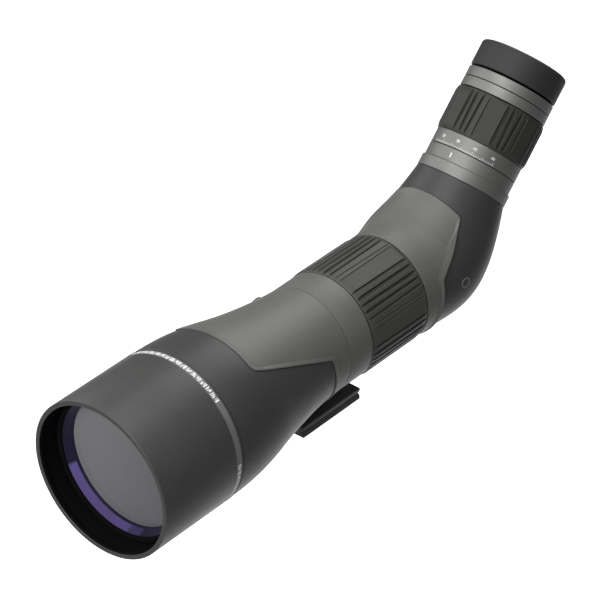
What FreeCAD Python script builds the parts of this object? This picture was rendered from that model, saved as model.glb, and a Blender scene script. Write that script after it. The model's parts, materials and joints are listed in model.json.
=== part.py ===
"""Angled spotting scope with a zoom eyepiece, built as separate pieces.

The objective looks along -Y, +Z is up and +X is the scope's left side.  The origin is the
centre of the tripod thread, on the underside of the foot.  Places along the main barrel are
given as stations, measured back from the front rim of the sunshade.  Places along the
eyepiece are given as heights, measured up its tilted axis from the point where the two
optical axes cross.
"""
import FreeCAD, Part
import math
import os
import Sketcher

SIZES = {
    # whole scope
    "axis_height": 46.0,
    "thread_station": 170.0,
    "elbow_station": 273.3,
    "eyepiece_tilt": 45.0,
    # sunshade
    "hood_radius": 47.7,
    "hood_wall": 1.9,
    "hood_length": 61.8,
    "hood_lip": 4.0,
    "rim_depth": 3.0,
    "band_start": 56.6,
    "band_end": 61.0,
    "band_depth": 0.5,
    # front barrel
    "shoulder_station": 62.2,
    "swell_start": 67.0,
    "swell_end": 108.0,
    "swell_radius": 42.5,
    "swell_curve": 175.0,
    "taper_curve": 339.0,
    "seam_station": 169.0,
    "seam_radius": 33.5,
    "armour_wall": 1.4,
    "panel_sink": 0.5,
    "barrel_wall": 1.9,
    "front_tube_radius": 44.6,
    "bush_front": 149.1,
    "bush_radius": 30.55,
    # objective lens group
    "cell_front": 13.4,
    "lens_radius": 42.3,
    "clear_radius": 41.7,
    "objective_curve": 240.0,
    "cement_curve": 281.0,
    "seal_station": 38.7,
    "seal_thickness": 1.08,
    # rear barrel and focus ring
    "spigot_radius": 29.15,
    "spigot_wall": 2.5,
    "spigot_front": 143.5,
    "collar_end": 187.8,
    "focus_start": 188.3,
    "focus_end": 237.5,
    "grip_radius": 34.3,
    "guide_radius": 29.5,
    "focus_rest": 211.0,
    "focus_travel": 7.5,
    "focus_lens_curve": 90.0,
    "focus_lens_radius": 21.0,
    "focus_core_radius": 32.5,
    "pin_radius": 1.5,
    # prism housing
    "housing_start": 238.0,
    "housing_wall": 2.0,
    "entry_radius": 33.8,
    "throat_station": 252.0,
    "throat_radius": 34.3,
    "heel_rise": 2.6,
    "heel_radius": 37.0,
    "upper_height": 30.0,
    "upper_radius": 33.0,
    "upper_shift": 1.4,
    "neck_height": 50.0,
    "neck_radius": 28.4,
    # eyepiece
    "tube_radius": 22.5,
    "tube_bore": 20.2,
    "zoom_core_radius": 25.2,
    "zoom_lens_radius": 14.0,
    "eye_lens_radius": 18.4,
    "cam_radius": 23.5,
    "tube_top": 127.0,
    "ring_radius": 27.3,
    "flange_radius": 28.3,
    "index_top": 65.0,
    "zoom_bottom": 65.4,
    "zoom_shelf": 74.2,
    "zoom_top": 102.3,
    "stop_bottom": 102.7,
    "stop_top": 108.6,
    "base_top": 115.0,
    "cup_bottom": 116.3,
    "cup_top": 133.0,
    "zoom_front_rest": 60.0,
    "zoom_rear_rest": 84.0,
    "field_curve": 204.0,
    "eye_curve": 110.0,
    "zoom_curve": 98.0,
    # foot
    "foot_length": 51.0,
    "foot_width": 38.0,
    "foot_thick": 7.7,
    "insert_radius": 4.6,
    "thread_radius": 3.2,
    "screw_radius": 2.0,
    "boss_half": 9.0,
    "boss_front": 147.5,
    "boss_back": 165.5,
    "boss_level": -36.0,
    # rotation lock
    "lock_station": 163.0,
    "lock_tilt": 24.0,
    "lock_seat": 34.5,
    "knob_radius": 4.5,
    "knob_reach": 36.3,
    # fits
    "running_gap": 0.06,
    "seat_gap": 0.03,
}

RELIEF_RIBS = 18
KNURL_GROOVES = 16
THROUGH = 200.0
FOOT_SCREW_STATIONS = (151.5, 161.5)
PRISM_SCREW_CIRCLE = (3, 28.4)


class Size:
    """A length kept as a number together with the sheet formula that gives it."""

    def __init__(self, value, formula):
        self.value = float(value)
        self.formula = formula

    def __add__(self, other):
        other = as_size(other)
        return Size(self.value + other.value, f"({self.formula} + {other.formula})")

    def __sub__(self, other):
        other = as_size(other)
        return Size(self.value - other.value, f"({self.formula} - {other.formula})")

    def __mul__(self, other):
        other = as_size(other)
        return Size(self.value * other.value, f"({self.formula} * {other.formula})")

    def __truediv__(self, other):
        other = as_size(other)
        return Size(self.value / other.value, f"({self.formula} / {other.formula})")

    def __neg__(self):
        return Size(-self.value, f"(0 - {self.formula})")

    def __radd__(self, other):
        return as_size(other) + self

    def __rsub__(self, other):
        return as_size(other) - self


def as_size(number):
    """Wrap a bare number so that it can stand in a formula."""
    if isinstance(number, Size):
        return number
    return Size(number, repr(float(number)))


doc = FreeCAD.newDocument("spotting_scope")
sheet = doc.addObject("Spreadsheet::Sheet", "Sizes")
for row, (alias, number) in enumerate(SIZES.items(), start=1):
    sheet.set(f"A{row}", alias)
    sheet.set(f"B{row}", str(number))
    sheet.setAlias(f"B{row}", alias)
doc.recompute()


def size(alias):
    """The sheet cell with this alias, as a Size."""
    return Size(SIZES[alias], f"Sizes.{alias}")


DIAGONAL = math.sqrt(0.5)
PARTS = []


# ---------------------------------------------------------------- sketches and placing

def bind(feature, prop, length):
    """Set a property from a Size and tie it to the sheet."""
    length = as_size(length)
    feature.setExpression(prop, length.formula)


def origin_plane(body, role):
    """One of a body's own origin planes or axes."""
    return next(item for item in body.Origin.OriginFeatures if item.Role == role)


def arc_middle(start, end, curve):
    """The middle point of an arc; a positive curve bulges away from the H axis."""
    chord = end - start
    rise = abs(curve) - math.sqrt(curve * curve - chord.Length ** 2 / 4)
    normal = FreeCAD.Vector(-chord.y, chord.x, 0).normalize()
    if normal.y < 0:
        normal = -normal
    return (start + end) * 0.5 + normal * math.copysign(rise, curve)


def nearest_end(sketch, edge, corner):
    """Which end (1 or 2) of a sketch edge lies on a corner."""
    gaps = [(sketch.getPoint(edge, end) - corner).Length for end in (1, 2)]
    return 1 + gaps.index(min(gaps))


def draw_outline(sketch, outline):
    """Draw a closed outline and tie every corner to the sheet.

    Each entry is (along, out) or (along, out, curve), where curve is the radius of the arc
    that leads to the next corner.
    """
    corners = [FreeCAD.Vector(as_size(point[0]).value, as_size(point[1]).value, 0) for point in outline]
    edges = []
    for index, point in enumerate(outline):
        start = corners[index]
        end = corners[(index + 1) % len(corners)]
        if len(point) == 3:
            shape = Part.Arc(start, arc_middle(start, end, as_size(point[2]).value), end)
        else:
            shape = Part.LineSegment(start, end)
        edges.append(sketch.addGeometry(shape, False))
    for index, edge in enumerate(edges):
        start = corners[index]
        end = corners[(index + 1) % len(corners)]
        following = edges[(index + 1) % len(edges)]
        here = nearest_end(sketch, edge, start)
        there = nearest_end(sketch, edge, end)
        sketch.addConstraint(Sketcher.Constraint(
            "Coincident", edge, there, following, nearest_end(sketch, following, end)))
        for kind, axis, place in (("DistanceX", -2, outline[index][0]), ("DistanceY", -1, outline[index][1])):
            place = as_size(place)
            if place.value == 0:
                sketch.addConstraint(Sketcher.Constraint("PointOnObject", edge, here, axis))
                continue
            number = sketch.addConstraint(Sketcher.Constraint(kind, -1, 1, edge, here, place.value))
            sketch.setExpression(f"Constraints[{number}]", place.formula)
        if len(outline[index]) == 3:
            curve = magnitude(as_size(outline[index][2]))
            number = sketch.addConstraint(Sketcher.Constraint("Radius", edge, curve.value))
            sketch.setExpression(f"Constraints[{number}]", curve.formula)


def draw_circle(sketch, along, out, radius):
    """Draw a circle tied to the sheet."""
    along, out, radius = as_size(along), as_size(out), as_size(radius)
    centre = FreeCAD.Vector(along.value, out.value, 0)
    edge = sketch.addGeometry(Part.Circle(centre, FreeCAD.Vector(0, 0, 1), radius.value), False)
    ties = (Sketcher.Constraint("DistanceX", -1, 1, edge, 3, along.value),
            Sketcher.Constraint("DistanceY", -1, 1, edge, 3, out.value),
            Sketcher.Constraint("Radius", edge, radius.value))
    for tie, length in zip(ties, (along, out, radius)):
        number = sketch.addConstraint(tie)
        sketch.setExpression(f"Constraints[{number}]", length.formula)


def new_sketch(body, name, role="YZ_Plane", offset=None):
    """A sketch flat on one of the body's origin planes, or parallel to it."""
    sketch = body.newObject("Sketcher::SketchObject", name)
    sketch.AttachmentSupport = [(origin_plane(body, role), "")]
    sketch.MapMode = "FlatFace"
    if offset is not None:
        bind(sketch, "AttachmentOffset.Base.z", offset)
    return sketch


def lock_sketch(body, name, reach):
    """A sketch square to the lock screw's axis, some way out along it from the main axis."""
    sketch = new_sketch(body, name)
    tilt = math.radians(SIZES["lock_tilt"])
    sketch.AttachmentOffset = FreeCAD.Placement(
        FreeCAD.Vector(), FreeCAD.Rotation(FreeCAD.Vector(1, 0, 0), SIZES["lock_tilt"]))
    bind(sketch, "AttachmentOffset.Base.y", as_size(reach) * math.sin(tilt))
    bind(sketch, "AttachmentOffset.Base.z", -as_size(reach) * math.cos(tilt))
    return sketch


def on_main_axis(body):
    """Put a body's origin at the centre of the sunshade's front rim."""
    bind(body, "Placement.Base.y", -size("thread_station"))
    bind(body, "Placement.Base.z", size("axis_height"))


def on_eyepiece_axis(body):
    """Put a body's origin where the axes cross, with its Y axis up the eyepiece."""
    body.Placement = FreeCAD.Placement(
        FreeCAD.Vector(), FreeCAD.Rotation(FreeCAD.Vector(1, 0, 0), SIZES["eyepiece_tilt"]))
    bind(body, "Placement.Base.y", size("elbow_station") - size("thread_station"))
    bind(body, "Placement.Base.z", size("axis_height"))


def on_lock_axis(body):
    """Put a body's origin on the main axis, with its -X axis out along the lock screw."""
    body.Placement = FreeCAD.Placement(
        FreeCAD.Vector(), FreeCAD.Rotation(FreeCAD.Vector(0, 1, 0), SIZES["lock_tilt"]))
    on_main_axis(body)


def new_body(label, place=on_main_axis):
    """An empty body, listed as one of the scope's pieces."""
    body = doc.addObject("PartDesign::Body", label)
    body.Label = label
    place(body)
    PARTS.append(body)
    return body


def turn(body, name, outline):
    """Turn an outline of (along, radius) corners about the body's Y axis."""
    sketch = new_sketch(body, name + "_outline")
    draw_outline(sketch, outline)
    feature = body.newObject("PartDesign::Revolution", name)
    feature.Profile = sketch
    feature.ReferenceAxis = (sketch, ["H_Axis"])
    feature.Angle = 360
    sketch.Visibility = False
    return feature


def turned(label, outline, place=on_main_axis):
    """A piece made by one turn."""
    body = new_body(label, place)
    turn(body, label + "_turn", outline)
    return body


def tube(start, end, inner, outer):
    """Outline of a plain ring."""
    return [(start, outer), (end, outer), (end, inner), (start, inner)]


def extrude(body, kind, name, sketch, length, reverse=False, both_ways=True):
    """Pad or pocket a sketch by a length."""
    feature = body.newObject(f"PartDesign::{kind}", name)
    feature.Profile = sketch
    feature.SideType = "Symmetric" if both_ways else "One side"
    feature.Reversed = reverse
    bind(feature, "Length", length)
    sketch.Visibility = False
    return feature


def side_pocket(body, name, outline):
    """Cut an outline of (along, up) corners right through a body from side to side."""
    sketch = new_sketch(body, name + "_outline")
    draw_outline(sketch, outline)
    extrude(body, "Pocket", name, sketch, THROUGH)


def drilled(body, name, role, places, radius, length, reverse=False, both_ways=False, offset=None):
    """Drill a set of round holes given by their (along, out) centres."""
    sketch = new_sketch(body, name + "_holes", role, offset)
    for along, out in places:
        draw_circle(sketch, along, out, radius)
    return extrude(body, "Pocket", name, sketch, length, reverse, both_ways)


def repeat_around(body, name, feature, axis, count):
    """Repeat a feature evenly all the way round an axis."""
    pattern = body.newObject("PartDesign::PolarPattern", name)
    pattern.Originals = [feature]
    pattern.Axis = axis
    pattern.Angle = 360
    pattern.Occurrences = count
    body.Tip = pattern


# ---------------------------------------------------------------- shared outlines

def flared(start_drop, end_station):
    """Outer corners of the front barrel from its shoulder back, lowered by a skin depth."""
    return [(size("shoulder_station"), size("hood_radius") - start_drop),
            (size("swell_start"), size("hood_radius") - start_drop, size("swell_curve")),
            (size("swell_end"), size("swell_radius") - start_drop, -size("taper_curve")),
            (end_station, size("seam_radius") - start_drop)]


def flared_shell(outer_drop, inner_drop, end_station):
    """A skin that follows the front barrel between two depths."""
    outer = flared(outer_drop, end_station)
    shoulder, swell, waist, end = flared(inner_drop, end_station)
    inner = [(end[0], end[1], -size("taper_curve")),
             (waist[0], waist[1], size("swell_curve")),
             (swell[0], swell[1]),
             (shoulder[0], shoulder[1])]
    return outer + inner


def saddle_side(gap):
    """Side view of the dark panel region under the grey saddle, grown or shrunk by a gap."""
    front = 91.6 + gap
    return [(50.0, -60.0),
            (50.0, 60.0),
            (front, 60.0),
            (front, 39.5 + gap),
            (front + 1.4, 35.8 + gap),
            (front + 4.6, 33.6 + gap),
            (150.6 + gap, 11.4 + gap),
            (153.2 + gap, 9.7 + gap),
            (154.2 + gap, 7.0 + gap),
            (158.6 + gap, -32.0),
            (160.2 + gap, -60.0)]


# ---------------------------------------------------------------- sunshade

def make_sunshade():
    """The sliding sunshade, with a rolled rim in front and a guide lip at the rear, and its band."""
    outer = size("hood_radius")
    bore = outer - size("hood_wall")
    end = size("hood_length")
    lip_bore = size("front_tube_radius") + size("running_gap")
    turned("sunshade", [
        (0.0, outer - 0.6), (0.6, outer),
        (size("band_start"), outer), (size("band_start"), outer - size("band_depth")),
        (size("band_end"), outer - size("band_depth")), (size("band_end"), outer),
        (end, outer), (end, lip_bore), (end - size("hood_lip"), lip_bore),
        (end - size("hood_lip"), bore), (size("rim_depth") + 0.8, bore),
        (size("rim_depth"), bore - 0.8), (0.8, bore - 0.8), (0.0, bore)])
    inner = outer - size("band_depth") + size("seat_gap")
    turned("sunshade_band", tube(size("band_start") + 0.05, size("band_end") - 0.05, inner, outer - 0.05))


# ---------------------------------------------------------------- objective

def make_objective():
    """The front lens group in its cell, and the ring that guides the sunshade."""
    front = size("cell_front")
    outer = size("front_tube_radius")
    bore = size("lens_radius") + size("seat_gap")
    turned("objective_cell", [
        (front, outer - 0.3), (front + 0.3, outer), (front + 3.6, outer), (front + 3.6, outer - 0.6),
        (front + 8.6, outer - 0.6), (front + 8.6, outer), (36.0, outer), (36.0, 42.8),
        (38.0, 42.8), (38.0, 41.7), (39.4, 41.7), (39.4, 42.8), (42.0, 42.8), (42.0, 40.6),
        (34.0, 39.0), (31.0, 39.0), (31.0, bore), (front + 2.0, bore), (front + 2.0, 43.2), (front, 43.2)])
    turned("lens_retaining_ring", [
        (front + 0.1, 43.15), (front + 1.9, 43.15), (front + 1.9, size("clear_radius") - 0.4),
        (front + 0.5, size("clear_radius"))])
    hood_bore = size("hood_radius") - size("hood_wall")
    turned("hood_guide_ring", tube(
        front + 3.65, front + 8.55, outer - 0.55, hood_bore - size("running_gap")))
    make_front_lenses()
    turned("lens_spacer", tube(22.3, 23.0, 40.9, size("lens_radius")))
    seal = new_body("cell_seal")
    sketch = new_sketch(seal, "cell_seal_section")
    thick = size("seal_thickness") / 2
    draw_circle(sketch, size("seal_station"), as_size(42.8) - thick, thick)
    ring = seal.newObject("PartDesign::Revolution", "cell_seal_turn")
    ring.Profile = sketch
    ring.ReferenceAxis = (sketch, ["H_Axis"])
    ring.Angle = 360


def make_front_lenses():
    """The two elements of the objective."""
    edge = size("lens_radius")
    lens("front_lens", on_main_axis, 15.4, 22.0, edge, size("objective_curve"), size("cement_curve"))
    lens("rear_lens", on_main_axis, 23.1, 30.9, edge, -size("cement_curve"), None)


def sag(curve, reach):
    """How far a spherical face of this radius stands out or in at its middle."""
    depth = abs(curve.value) - math.sqrt(curve.value ** 2 - reach.value ** 2)
    formula = f"(abs({curve.formula}) - sqrt(({curve.formula}) ^ 2 - ({reach.formula}) ^ 2))"
    return Size(depth, formula) if curve.value > 0 else -Size(depth, formula)


def lens(label, place, front_edge, rear_edge, reach, front_curve, rear_curve):
    """Turn a lens.  A positive curve is a convex face, a negative one is hollow, None is flat."""
    front_edge, rear_edge, reach = as_size(front_edge), as_size(rear_edge), as_size(reach)
    outline = []
    if front_curve is None:
        outline.append((front_edge, 0.0))
    else:
        outline.append((front_edge - sag(front_curve, reach), 0.0, magnitude(front_curve)))
    outline.append((front_edge, reach))
    if rear_curve is None:
        outline += [(rear_edge, reach), (rear_edge, 0.0)]
    else:
        outline += [(rear_edge, reach, magnitude(rear_curve)), (rear_edge + sag(rear_curve, reach), 0.0)]
    return turned(label, outline, place)


def magnitude(length):
    """A length without its sign."""
    return -length if length.value < 0 else length


# ---------------------------------------------------------------- front barrel

def make_front_barrel():
    """The structural tube, its baffles and the bush that the rear half turns in."""
    end = size("seam_station") - 0.15
    skin = size("armour_wall") + 0.05
    shell = flared(skin, end)
    inner = skin + size("barrel_wall")
    _, swell, waist, _ = flared(inner, end)
    bush_bore = size("bush_radius")
    body = new_body("objective_barrel")
    turn(body, "barrel_turn", [
        (36.1, size("front_tube_radius")), (size("shoulder_station"), size("front_tube_radius"))]
        + shell + [
        (end, bush_bore), (size("bush_front") - 0.1, bush_bore),
        (size("bush_front") - 0.1, 31.9, -size("taper_curve")),
        (waist[0], waist[1], size("swell_curve")), (swell[0], swell[1]),
        (60.0, 42.2), (42.1, 42.2), (42.1, 42.85), (36.1, 42.85)])
    add_foot_boss(body)
    add_lock_boss(body)
    turned("front_baffle", tube(72.0, 73.0, 36.0, 43.3))
    turned("middle_baffle", tube(112.0, 113.0, 31.0, 37.6))
    bush = turned("rotation_bush", tube(
        size("bush_front"), end - 0.05, size("spigot_radius") + size("running_gap"),
        bush_bore - size("seat_gap")))
    lock_hole(bush, "bush_lock_hole", size("screw_radius") + 0.4, 20.0, 20.0)


def add_foot_boss(body):
    """A pad under the barrel that the foot is screwed to."""
    sketch = new_sketch(body, "foot_boss_outline", "XY_Plane", size("boss_level") + 0.1)
    draw_outline(sketch, boss_outline(0.0))
    extrude(body, "Pad", "foot_boss", sketch, 3.6, both_ways=False)
    drilled(body, "foot_screw_threads", "XY_Plane", foot_screw_places(),
            size("screw_radius") + size("seat_gap"), 5.0, reverse=True, offset=size("boss_level"))


def boss_outline(gap):
    """Corners of the foot boss seen from above, grown by a gap."""
    half = size("boss_half") + gap
    front = size("boss_front") - gap
    back = size("boss_back") + gap
    return [(-half, front), (-half, back), (half, back), (half, front)]


def foot_screw_places():
    """Centres of the two screws that hold the foot."""
    return [(0.0, station) for station in FOOT_SCREW_STATIONS]


def add_lock_boss(body):
    """A round boss high on the right side that carries the lock screw."""
    sketch = lock_sketch(body, "lock_boss_outline", size("lock_seat"))
    draw_circle(sketch, size("lock_station"), 0.0, size("knob_radius") - 0.4)
    extrude(body, "Pad", "lock_boss", sketch, 3.0, both_ways=False)
    lock_hole(body, "lock_screw_hole", size("screw_radius") + size("running_gap"), 20.0, 20.0)


def lock_hole(body, name, radius, start, length):
    """A round hole out along the lock screw's axis."""
    sketch = lock_sketch(body, name + "_outline", start)
    draw_circle(sketch, size("lock_station"), 0.0, radius)
    extrude(body, "Pocket", name, sketch, length, both_ways=False)


def make_front_armour():
    """The dark front panel and the grey saddle that laps over it."""
    skin = size("armour_wall")
    end = size("seam_station") - 0.15
    dark = turned("barrel_armour_dark", flared_shell(size("panel_sink"), skin, end))
    side_common(dark, "dark_panel_trim", saddle_side(-0.1))
    grey = turned("barrel_armour_grey", flared_shell(0.0, skin, end))
    side_pocket(grey, "saddle_trim", saddle_side(0.1))
    for body in (dark, grey):
        cut_foot_window(body)
    lock_hole(grey, "saddle_lock_cut", size("knob_radius") - 0.2, 25.0, 20.0)


def side_common(body, name, outline):
    """Keep only what lies inside an outline seen from the side."""
    frame = [(-50.0, -120.0), (-50.0, 120.0), (260.0, 120.0), (260.0, -120.0)]
    sketch = new_sketch(body, name + "_outline")
    draw_outline(sketch, frame)
    draw_outline(sketch, outline)
    extrude(body, "Pocket", name, sketch, THROUGH)


def cut_foot_window(body):
    """The opening in a skin for the foot boss."""
    sketch = new_sketch(body, body.Label + "_foot_window", "XY_Plane", -20.0)
    draw_outline(sketch, boss_outline(0.2))
    extrude(body, "Pocket", body.Label + "_foot_cut", sketch, 30.0, both_ways=False)


# ---------------------------------------------------------------- foot and lock

def make_foot():
    """The dovetail foot with its tripod thread and the screws that hold it."""
    half = size("foot_width") / 2
    bottom = -size("axis_height")
    top = bottom + size("foot_thick")
    body = new_body("foot")
    start = size("thread_station") - size("foot_length") / 2
    sketch = new_sketch(body, "foot_section", "XZ_Plane", -start)
    draw_outline(sketch, [
        (-half, bottom), (-half, bottom + 1.5), (2.0 - half, bottom + 3.5), (-half, bottom + 5.4),
        (-half, top - 0.6), (0.6 - half, top), (half - 0.6, top), (half, top - 0.6),
        (half, bottom + 5.4), (half - 2.0, bottom + 3.5), (half, bottom + 1.5), (half, bottom)])
    extrude(body, "Pad", "foot_plate", sketch, size("foot_length"), reverse=True, both_ways=False)
    sketch = new_sketch(body, "foot_neck_outline", "XY_Plane", top - 0.2)
    draw_outline(sketch, [(-12.0, 146.5), (-12.0, 166.5), (12.0, 166.5), (12.0, 146.5)])
    extrude(body, "Pad", "foot_neck", sketch, size("boss_level") - top + 0.2, both_ways=False)
    drilled(body, "tripod_thread_seat", "XY_Plane", [(0.0, size("thread_station"))],
            size("insert_radius"), 6.5, reverse=True, offset=bottom)
    drilled(body, "foot_screw_heads", "XY_Plane", foot_screw_places(),
            3.8, 4.4, reverse=True, offset=bottom)
    drilled(body, "foot_screw_holes", "XY_Plane", foot_screw_places(),
            size("screw_radius") + 0.2, 16.0, reverse=True, offset=bottom)
    make_thread_insert(bottom)
    make_foot_screws(bottom)


def make_thread_insert(bottom):
    """The steel insert with the tripod thread."""
    insert = new_body("thread_insert")
    sketch = new_sketch(insert, "insert_outline", "XY_Plane", bottom)
    draw_circle(sketch, 0.0, size("thread_station"), size("insert_radius") - size("seat_gap"))
    draw_circle(sketch, 0.0, size("thread_station"), size("thread_radius"))
    extrude(insert, "Pad", "insert_pad", sketch, 6.4, both_ways=False)


def make_foot_screws(bottom):
    """Two cap screws with hexagon sockets, up through the foot into the barrel."""
    body = new_body("foot_screws")
    head_low = bottom + 1.2
    sketch = new_sketch(body, "screw_heads_outline", "XY_Plane", head_low)
    for station in FOOT_SCREW_STATIONS:
        draw_circle(sketch, 0.0, station, 3.5)
    extrude(body, "Pad", "screw_heads", sketch, 3.15, both_ways=False)
    sketch = new_sketch(body, "screw_shanks_outline", "XY_Plane", head_low + 3.0)
    for station in FOOT_SCREW_STATIONS:
        draw_circle(sketch, 0.0, station, size("screw_radius"))
    extrude(body, "Pad", "screw_shanks", sketch, 9.0, both_ways=False)
    sketch = new_sketch(body, "screw_sockets_outline", "XY_Plane", head_low)
    for station in FOOT_SCREW_STATIONS:
        draw_outline(sketch, hexagon(0.0, station, 1.75))
    extrude(body, "Pocket", "screw_sockets", sketch, 2.0, reverse=True, both_ways=False)


def hexagon(across, along, reach):
    """Corners of a regular hexagon."""
    return [(across + reach * math.cos(math.radians(60 * step)),
             along + reach * math.sin(math.radians(60 * step))) for step in range(6)]


def make_lock():
    """The knurled lock knob, its screw and the soft tip that presses on the spigot."""
    station = size("lock_station")
    reach = size("knob_reach")
    knob_low = size("lock_seat") + 0.1
    knob = new_body("lock_knob", on_lock_axis)
    sketch = new_sketch(knob, "knob_outline", "YZ_Plane", -reach)
    draw_circle(sketch, station, 0.0, size("knob_radius"))
    pad = extrude(knob, "Pad", "knob_pad", sketch, reach - knob_low, both_ways=False)
    doc.recompute()
    chamfer = knob.newObject("PartDesign::Chamfer", "knob_edge")
    chamfer.Base = (pad, circle_edges(pad.Shape, -reach.value))
    chamfer.Size = 0.5
    groove = drilled(knob, "knob_groove", "YZ_Plane", [(station + size("knob_radius") + 0.5, 0.0)],
                     0.8, 12.0, reverse=True, offset=-reach - 1.0)
    doc.recompute()
    repeat_around(knob, "knob_knurl", groove, (sketch_axis(knob, station), ["N_Axis"]), KNURL_GROOVES)
    drilled(knob, "knob_screw_seat", "YZ_Plane", [(station, 0.0)],
            size("screw_radius") + size("seat_gap"), 1.2, offset=-knob_low + 0.1)
    screw_end = size("spigot_radius") + 1.75
    lock_pin("lock_screw", reach - 0.7, screw_end)
    lock_pin("lock_tip", screw_end - 0.05, screw_end - 1.35)


def lock_pin(label, outer_end, inner_end):
    """A round pin on the lock screw's axis."""
    pin = new_body(label, on_lock_axis)
    sketch = new_sketch(pin, label + "_outline", "YZ_Plane", -outer_end)
    draw_circle(sketch, size("lock_station"), 0.0, size("screw_radius"))
    extrude(pin, "Pad", label + "_pad", sketch, outer_end - inner_end, both_ways=False)


def sketch_axis(body, station):
    """An empty sketch whose normal axis runs along the lock screw."""
    sketch = body.newObject("Sketcher::SketchObject", body.Label + "_axis")
    sketch.AttachmentSupport = [(origin_plane(body, "YZ_Plane"), "")]
    sketch.MapMode = "FlatFace"
    bind(sketch, "AttachmentOffset.Base.x", station)
    return sketch


def circle_edges(shape, across):
    """Names of the round edges that lie in one plane across X."""
    return [f"Edge{index}" for index, edge in enumerate(shape.Edges, start=1)
            if abs(edge.CenterOfMass.x - across) < 1e-3 and edge.BoundBox.XLength < 1e-3]


# ---------------------------------------------------------------- rear barrel and focusing

def make_rear_barrel():
    """The spigot and focusing guide tube that carry the whole rear half."""
    seam = size("seam_station") + 0.15
    outer = size("spigot_radius")
    bore = outer - size("spigot_wall")
    guide = size("guide_radius")
    body = turned("rear_barrel", [
        (size("spigot_front"), outer - 0.9), (147.0, outer - 0.9), (147.0, outer),
        (seam, outer), (seam, 32.2), (size("collar_end") - 0.1, 32.2),
        (size("collar_end") - 0.1, guide), (size("housing_start") + 0.2, guide),
        (size("housing_start") + 0.2, 30.2), (242.0, 30.2), (242.0, bore), (size("spigot_front"), bore)])
    slot_half = size("focus_travel") + 2.0
    sketch = new_sketch(body, "focus_slot_outline", "XY_Plane", -20.0)
    draw_outline(sketch, [(-2.0, size("focus_rest") - slot_half), (-2.0, size("focus_rest") + slot_half),
                          (2.0, size("focus_rest") + slot_half), (2.0, size("focus_rest") - slot_half)])
    extrude(body, "Pocket", "focus_slot", sketch, 15.0, reverse=False, both_ways=False)
    drilled(body, "prism_screw_threads", "XZ_Plane", ring_places(*PRISM_SCREW_CIRCLE), 1.25, 10.0,
            both_ways=True, offset=-242.0)
    turned("rotation_retaining_ring", tube(
        size("spigot_front") + 0.2, 146.8, outer - 0.9 + size("seat_gap"), 31.4))
    turned("collar_ring", [
        (seam + 0.3, size("seam_radius")), (size("collar_end") - 0.4, size("seam_radius") + 0.2),
        (size("collar_end"), size("seam_radius") - 0.2), (size("collar_end"), 32.25),
        (seam, 32.25), (seam, size("seam_radius") - 0.3)])


def make_focus_ring():
    """The focus ring: a metal core under a ribbed rubber sleeve."""
    start = size("focus_start")
    end = size("focus_end")
    core_outer = size("focus_core_radius")
    bore = size("guide_radius") + size("running_gap")
    turned("focus_core", [
        (start, core_outer), (end, core_outer), (end, bore), (224.0, bore), (224.0, 31.2),
        (199.0, 31.2), (199.0, bore), (start, bore)])
    outer = size("grip_radius")
    grip = turned("focus_grip", [
        (start + 0.2, outer - 1.0), (start + 3.2, outer), (end - 3.2, outer), (end - 0.2, outer - 0.8),
        (end - 0.2, core_outer + size("seat_gap")), (start + 0.2, core_outer + size("seat_gap"))])
    add_ribs(grip, start + 4.0, end - 4.0, outer)


def add_ribs(grip, start, end, outer):
    """Tapered grooves cut along a rubber grip, repeated around it."""
    label = grip.Label
    sketch = new_sketch(grip, label + "_rib_outline", "XY_Plane", outer - 0.9)
    draw_outline(sketch, [(-0.6, start), (-1.6, end), (1.6, end), (0.6, start)])
    groove = extrude(grip, "Pocket", label + "_rib", sketch, 4.0, reverse=True, both_ways=False)
    repeat_around(grip, label + "_ribs", groove, (origin_plane(grip, "Y_Axis"), [""]), RELIEF_RIBS)


def make_focus_lens():
    """The sliding focusing element and the pin that the focus ring drives."""
    rest = size("focus_rest")
    reach = size("focus_lens_radius")
    outer = size("spigot_radius") - size("spigot_wall") - size("running_gap")
    cell = turned("focus_cell", [
        (rest - 6.0, outer), (rest + 6.0, outer), (rest + 6.0, reach + size("seat_gap")),
        (rest - 4.5, reach + size("seat_gap")), (rest - 4.5, reach - 1.4), (rest - 6.0, reach - 1.4)])
    drilled(cell, "pin_seat", "XY_Plane", [(0.0, rest)], size("pin_radius") + 0.05, 3.5,
            reverse=True, offset=-28.0)
    lens("focus_lens", on_main_axis, rest - 4.4, rest + 4.0, reach,
         -size("focus_lens_curve"), -size("focus_lens_curve"))
    pin = new_body("focus_pin")
    sketch = new_sketch(pin, "focus_pin_outline", "XY_Plane", -30.9)
    draw_circle(sketch, 0.0, rest, size("pin_radius"))
    extrude(pin, "Pad", "focus_pin_pad", sketch, 6.0, both_ways=False)


# ---------------------------------------------------------------- prism housing

def housing_circle(name, station, height, tilt, radius):
    """One round section of the elbow."""
    circle = doc.addObject("Part::Circle", name)
    circle.Placement = FreeCAD.Placement(
        FreeCAD.Vector(), FreeCAD.Rotation(FreeCAD.Vector(1, 0, 0), tilt - 90))
    bind(circle, "Radius", radius)
    bind(circle, "Placement.Base.y", station - size("thread_station"))
    bind(circle, "Placement.Base.z", height + size("axis_height"))
    return circle


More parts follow.
